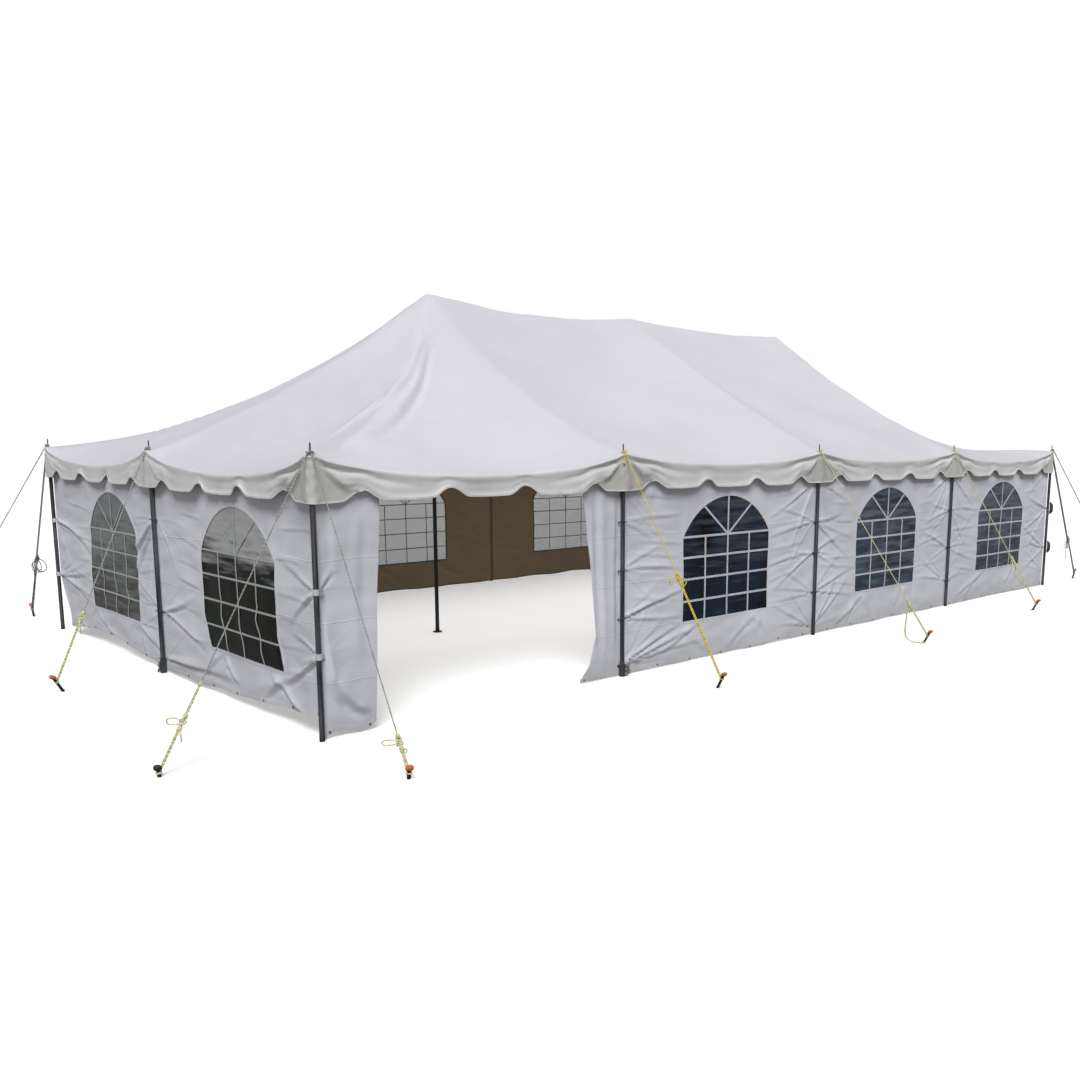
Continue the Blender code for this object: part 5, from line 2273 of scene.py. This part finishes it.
@dataclass
class Marquee:
    """The whole tent."""

    plan: TentPlan
    finishes: Finishes

    def build(self) -> None:
        """Build each sub-assembly in order."""
        RoofSheet(self.plan, self.finishes).build()
        self.build_walls()
        SidePoles(self.plan, self.finishes).build()
        CentrePoles(self.plan, self.finishes).build()
        self.build_ties()
        self.build_guys()

    def centres(self, half: float, skip: int = 0) -> list[float]:
        """Middles of the bays along a side, without the first ones."""
        bays = round(2 * half / self.plan.bay)
        return [-half + (bay + 0.5) * self.plan.bay for bay in range(skip, bays)]

    def build_walls(self) -> None:
        """Hang the four walls and the flap beside the door."""
        plan = self.plan
        length, depth = plan.half_length, plan.half_depth
        end_reach = depth - plan.pole_radius - 0.006
        long_reach = length - plan.pole_radius - 0.0006
        flap_start = -length + plan.pole_radius + 0.0008
        gathered = [0.95 * u - 0.23 for u in self.centres(depth)]
        hem = tuple((share * end_reach, z) for share, z in (
            (-1.0, 0.17), (-0.35, 0.05), (0.0, 0.03), (0.25, 0.10), (0.5, 0.15), (0.8, 0.12), (1.0, 0.07)))
        door_edge = ((-3.56, 0.03), (-3.45, 0.16), (-3.38, 0.43), (-3.42, 1.0), (-3.52, 1.7), (-3.53, 2.1))
        flap_edge = ((-5.64, 0.03), (-5.615, 0.5), (-5.57, 1.3), (-5.54, 2.07))

        def ties(along: float, heights: tuple, strength: float = 1.0,
                 ways: tuple = (-1, 1)) -> list[TiePoint]:
            """Ties of one pole at some heights."""
            return [TiePoint(along, z, strength, ways) for z in heights]

        front = WallDrape(
            plan, Side.FRONT, -3.56, long_reach, self.centres(length, 1),
            ties(-plan.bay, (1.78, 1.45, 1.0, 0.55, 0.11), 0.55, (1,))
            + ties(0.0, (1.78, 1.3, 0.95, 0.5, 0.1), 1.05)
            + ties(plan.bay, (1.78, 1.3, 0.8, 0.35), 1.05) + ties(length, (1.78, 1.2, 0.6, 0.2), 1.3),
            self.folds(-plan.bay, FRONT_FOLDS), seed=21, edge_table=door_edge, free_start=-plan.bay)
        left_folds = [fold for way, rows in LEFT_FOLDS.items() for fold in self.folds(way * depth, rows)]
        left = WallDrape(
            plan, Side.LEFT, -end_reach, end_reach, gathered,
            ties(-depth, (1.10, 0.63), 0.1) + ties(0.0, (1.44, 0.59, 0.14), 0.45)
            + ties(depth, (1.25, 0.64), 0.7),
            left_folds, seed=33, hem_table=hem, slack=1.5)
        back = WallDrape(
            plan, Side.BACK, -long_reach, long_reach, self.centres(length),
            [tie for x in (-length, -plan.bay, 0.0, plan.bay, length)
             for tie in ties(x, (1.4, 0.95, 0.5, 0.12))],
            seed=45)
        right = WallDrape(
            plan, Side.RIGHT, -end_reach, end_reach, self.centres(depth),
            [tie for y in (-depth, 0.0, depth) for tie in ties(y, (1.3, 0.85, 0.4), 1.2)], seed=57, slack=1.2)
        flap = WallDrape(
            plan, Side.FRONT, flap_start, -5.64, [],
            ties(-length, (1.10, 0.63), 0.1), self.folds(-length, FLAP_FOLDS), seed=69, edge_table=flap_edge,
            hem_table=((-6.08, 0.006), (-5.99, 0.055), (-5.90, 0.045), (-5.78, 0.012), (-5.70, 0.018),
                       (-5.64, 0.06)),
            free_start=flap_start, fullness=1.16)
        for drape, name, node, vinyl, step in (
                (front, "front_wall_sheet", "front_wall", FRONT_VINYLS, 0.03),
                (left, "left_wall_sheet", "left_wall", LEFT_VINYLS, 0.025),
                (back, "back_wall_sheet", "back_wall", BACK_VINYLS, 0.05),
                (right, "right_wall_sheet", "right_wall", RIGHT_VINYLS, 0.04),
                (flap, "door_flap_sheet", "door_flap", FRONT_VINYLS, 0.02)):
            panel = WallPanel(drape, name, node, self.finishes, vinyl, step)
            if drape.side is Side.LEFT:
                panel.bar_width, panel.bar_tape, panel.bar_slack = 0.017, GREY_BAR_TAPE, 0.022
            if drape.side is Side.BACK:
                panel.bar_width = 0.013
            panel.build()

    @staticmethod
    def folds(origin: float, rows: tuple) -> list[Fold]:
        """Folds measured from a pole.

        Args:
            origin: place of the pole along the wall.
            rows: rows of one of the fold tables.

        Returns:
            The folds.
        """
        return [Fold((origin + row[0], row[1]), (origin + row[2], row[3]), *row[4:]) for row in rows]

    def build_ties(self) -> None:
        """Tie the walls to the poles."""
        clip, strap, bundle = TieKind.DARK_CLIP, TieKind.WHITE_STRAP, TieKind.DARK_BUNDLE
        table = {
            "front_left_corner": ((1.10, 0.63), strap), "front_1": ((1.45, 1.0, 0.55, 0.11), clip),
            "front_2": ((1.3, 0.95, 0.5), clip), "front_3": ((1.3, 0.8, 0.35), clip),
            "front_right_corner": ((1.2, 0.6), bundle), "left_middle": ((1.44, 0.59, 0.14), clip),
            "back_left_corner": ((1.25, 0.64), strap), "right_middle": ((1.3, 0.85, 0.4), clip),
            "back_1": ((1.4, 0.95, 0.5), clip), "back_2": ((1.4, 0.95, 0.5), clip),
            "back_3": ((1.4, 0.95, 0.5), clip), "back_right_corner": ((1.3, 0.85, 0.4), strap),
        }
        for pole, (heights, kind) in table.items():
            PoleTies(self.plan, self.finishes, pole, heights, kind).build()
        LOG.info("ties on %d poles", len(table))

    def build_guys(self) -> None:
        """Stretch every guy rope."""
        plan = self.plan
        length, depth, reach = plan.half_length, plan.half_depth, 1.15
        grey, pale, yellow = GREY_ROPE, PALE_ROPE, YELLOW_ROPE
        plain = GuyStyle(grey, pale, 0.74)
        styles = {
            "front_left_corner_along": GuyStyle(
                grey, pale, 0.84, tail=0.10, loop_size=0.062, loop_out=1.1, loop_width=0.7,
                doubled_above=0.27, cap=MUDDY_CAP, sunk=0.075, lean=0.15),
            "front_left_corner_across": GuyStyle(
                grey, pale, 0.90, tail=0.05, loop_fall=0.2, loop_out=-0.8, loop_width=0.5, loop_size=0.06,
                sunk=0.06, lean=0.2),
            "front_1": GuyStyle(yellow, yellow, 0.55, loops=2, tail=0.07, pin_wraps=3, pin_tail=0.09),
            "front_2": GuyStyle(pale, pale, 0.82, tail=0.0, slack_loop=True, loop_side=1, loop_fall=0.9,
                                loop_size=0.05),
            "front_3": GuyStyle(pale, pale, 0.70, tail=0.34, pin_wraps=3, pin_tail=0.09, loop_fall=1.0),
            "left_middle": GuyStyle(grey, pale, 0.72, loops=0, pin_wraps=3, pin_tail=0.09),
            "back_left_corner_across": GuyStyle(grey, grey, 0.66, loops=4, tail=0.26, loop_size=0.088,
                                                loop_fall=1.15, strands=2),
            "back_left_corner_along": GuyStyle(grey, pale, 0.74, strands=2),
            "front_right_corner_along": GuyStyle(grey, grey, 0.70, loops=3, tail=0.30, loop_size=0.085,
                                                 loop_side=1, loop_fall=1.5, loop_width=0.45, strands=3),
            "front_right_corner_across": GuyStyle(grey, grey, 0.62, strands=3)}
        routes = {}
        for row, y, outward in (("front", -depth, -1), ("back", depth, 1)):
            for end, x, along in (("left", -length, -1), ("right", length, 1)):
                routes[f"{row}_{end}_corner_across"] = ((x, y), (0, outward), (x, y + outward * reach))
                routes[f"{row}_{end}_corner_along"] = ((x, y), (along, 0), (x + along * reach, y))
        shifts = ((0.31, 0.91), (0.5, 1.12), (0.55, 0.96))
        for count, (x, (shift, far)) in enumerate(zip((-plan.bay, 0.0, plan.bay), shifts), start=1):
            routes[f"front_{count}"] = ((x, -depth), (0, -1), (x + shift, -depth - far))
            routes[f"back_{count}"] = ((x, depth), (0, 1), (x, depth + reach - 0.05))
        routes["left_middle"] = ((-length, 0), (-1, 0), (-length - 0.9, -0.15))
        routes["right_middle"] = ((length, 0), (1, 0), (length + 1.0, 0))
        for name, (pole, outward, stake) in routes.items():
            GuyLine(plan, self.finishes, name, pole, outward, stake, styles.get(name, plain)).build()


# The studio

@dataclass(frozen=True)
class Studio:
    """Pale floor, soft light and the camera."""

    eye: tuple = (-9.55, -9.75, 2.19)
    forward: tuple = (0.69580, 0.70068, -0.15781)
    upward: tuple = (0.10612, 0.11702, 0.98744)
    lens: float = 33.95
    shift: tuple = (-0.0872, 0.0583)
    floor_half: float = 120.0
    floor_z: float = -0.001
    inner_size: tuple = (11.0, 5.0)
    inner_power: float = 150.0
    inner_z: float = 1.96

    def build(self) -> None:
        """Set the floor, the lights and the camera."""
        scene = bpy.context.scene
        scene.view_settings.view_transform = "Standard"
        floor_mesh = bpy.data.meshes.new("studio_floor")
        corners = [(x * self.floor_half, y * self.floor_half, 0)
                   for x, y in ((-1, -1), (1, -1), (1, 1), (-1, 1))]
        floor_mesh.from_pydata(corners, [], [(0, 1, 2, 3)])
        material, tree, shader, place = start_material("floor_matt_paint", Roughness=0.9)
        tint = mottle(tree, place, (0.4, 0.4, 0.4), ("#fafafa", "#f8f8f8"))
        # It glows a little, like a lit table, so that it stays pale in the tent's shade too
        glow = {"Emission Color": (1.0, 1.0, 1.0, 1.0), "Emission Strength": 0.22}
        set_inputs(tree, shader, {"Base Color": tint, **glow})
        floor_mesh.materials.append(material)
        floor = bpy.data.objects.new("studio_floor", floor_mesh)
        floor.location.z = self.floor_z
        # It doesn't light the walls from below, so that they keep the tone they have in open air
        floor.visible_diffuse = floor.visible_glossy = False
        scene.collection.objects.link(floor)
        self.light_world(scene)
        self.add_light("key_softlight", (-0.42, -0.49, 0.766), 30.0, 2.75)
        self.add_light("fill_softlight", (0.50, 0.45, 0.74), 60.0, 0.50)
        self.add_inner_light()
        camera_data = bpy.data.cameras.new("camera")
        camera_data.lens = self.lens
        camera_data.sensor_width = 36.0
        camera_data.shift_x, camera_data.shift_y = self.shift
        camera_data.clip_end = 200.0
        camera = bpy.data.objects.new("camera", camera_data)
        forward, upward = Vector(self.forward), Vector(self.upward)
        right = forward.cross(upward)
        turn = Matrix((right, upward, -forward)).transposed().to_4x4()
        camera.matrix_world = Matrix.Translation(self.eye) @ turn
        scene.collection.objects.link(camera)
        scene.camera = camera

    @staticmethod
    def light_world(scene: bpy.types.Scene) -> None:
        """Give the room a white ground that looks brighter than the light it throws.

        Args:
            scene: scene that gets the world.
        """
        world = bpy.data.worlds.new("studio_room")
        world.use_nodes = True
        tree = world.node_tree
        seen = add_node(tree, "LightPath").outputs["Is Camera Ray"]
        level = add_node(tree, "MapRange", {"Value": seen, "To Min": 0.25, "To Max": 1.0})
        set_inputs(tree, tree.nodes["Background"], {"Color": (1.0, 1.0, 1.0, 1.0), "Strength": level})
        scene.world = world

    @staticmethod
    def add_light(name: str, way: tuple, spread: float, strength: float) -> None:
        """Light the whole room evenly from one side.

        Args:
            name: name of the light.
            way: direction that it comes from.
            spread: angle over which it is spread, in degrees.
            strength: its strength.
        """
        data = bpy.data.lights.new(name, "SUN")
        data.angle, data.energy = math.radians(spread), strength
        light = bpy.data.objects.new(name, data)
        light.rotation_mode = "QUATERNION"
        light.rotation_quaternion = Vector(way).to_track_quat("Z", "Y")
        bpy.context.scene.collection.objects.link(light)

    def add_inner_light(self) -> None:
        """Hang the light that thin cloth lets into the tent."""
        data = bpy.data.lights.new("inner_softbox", "AREA")
        data.shape, data.energy = "RECTANGLE", self.inner_power
        data.size, data.size_y = self.inner_size
        light = bpy.data.objects.new("inner_softbox", data)
        light.location.z = self.inner_z
        light.visible_camera = False
        bpy.context.scene.collection.objects.link(light)


def main() -> None:
    """Build the tent and the studio round it."""
    logging.basicConfig(level=logging.INFO, format="%(message)s")
    Studio().build()
    Marquee(TentPlan.from_frame(), Finishes()).build()


if __name__ == "__main__":
    main()
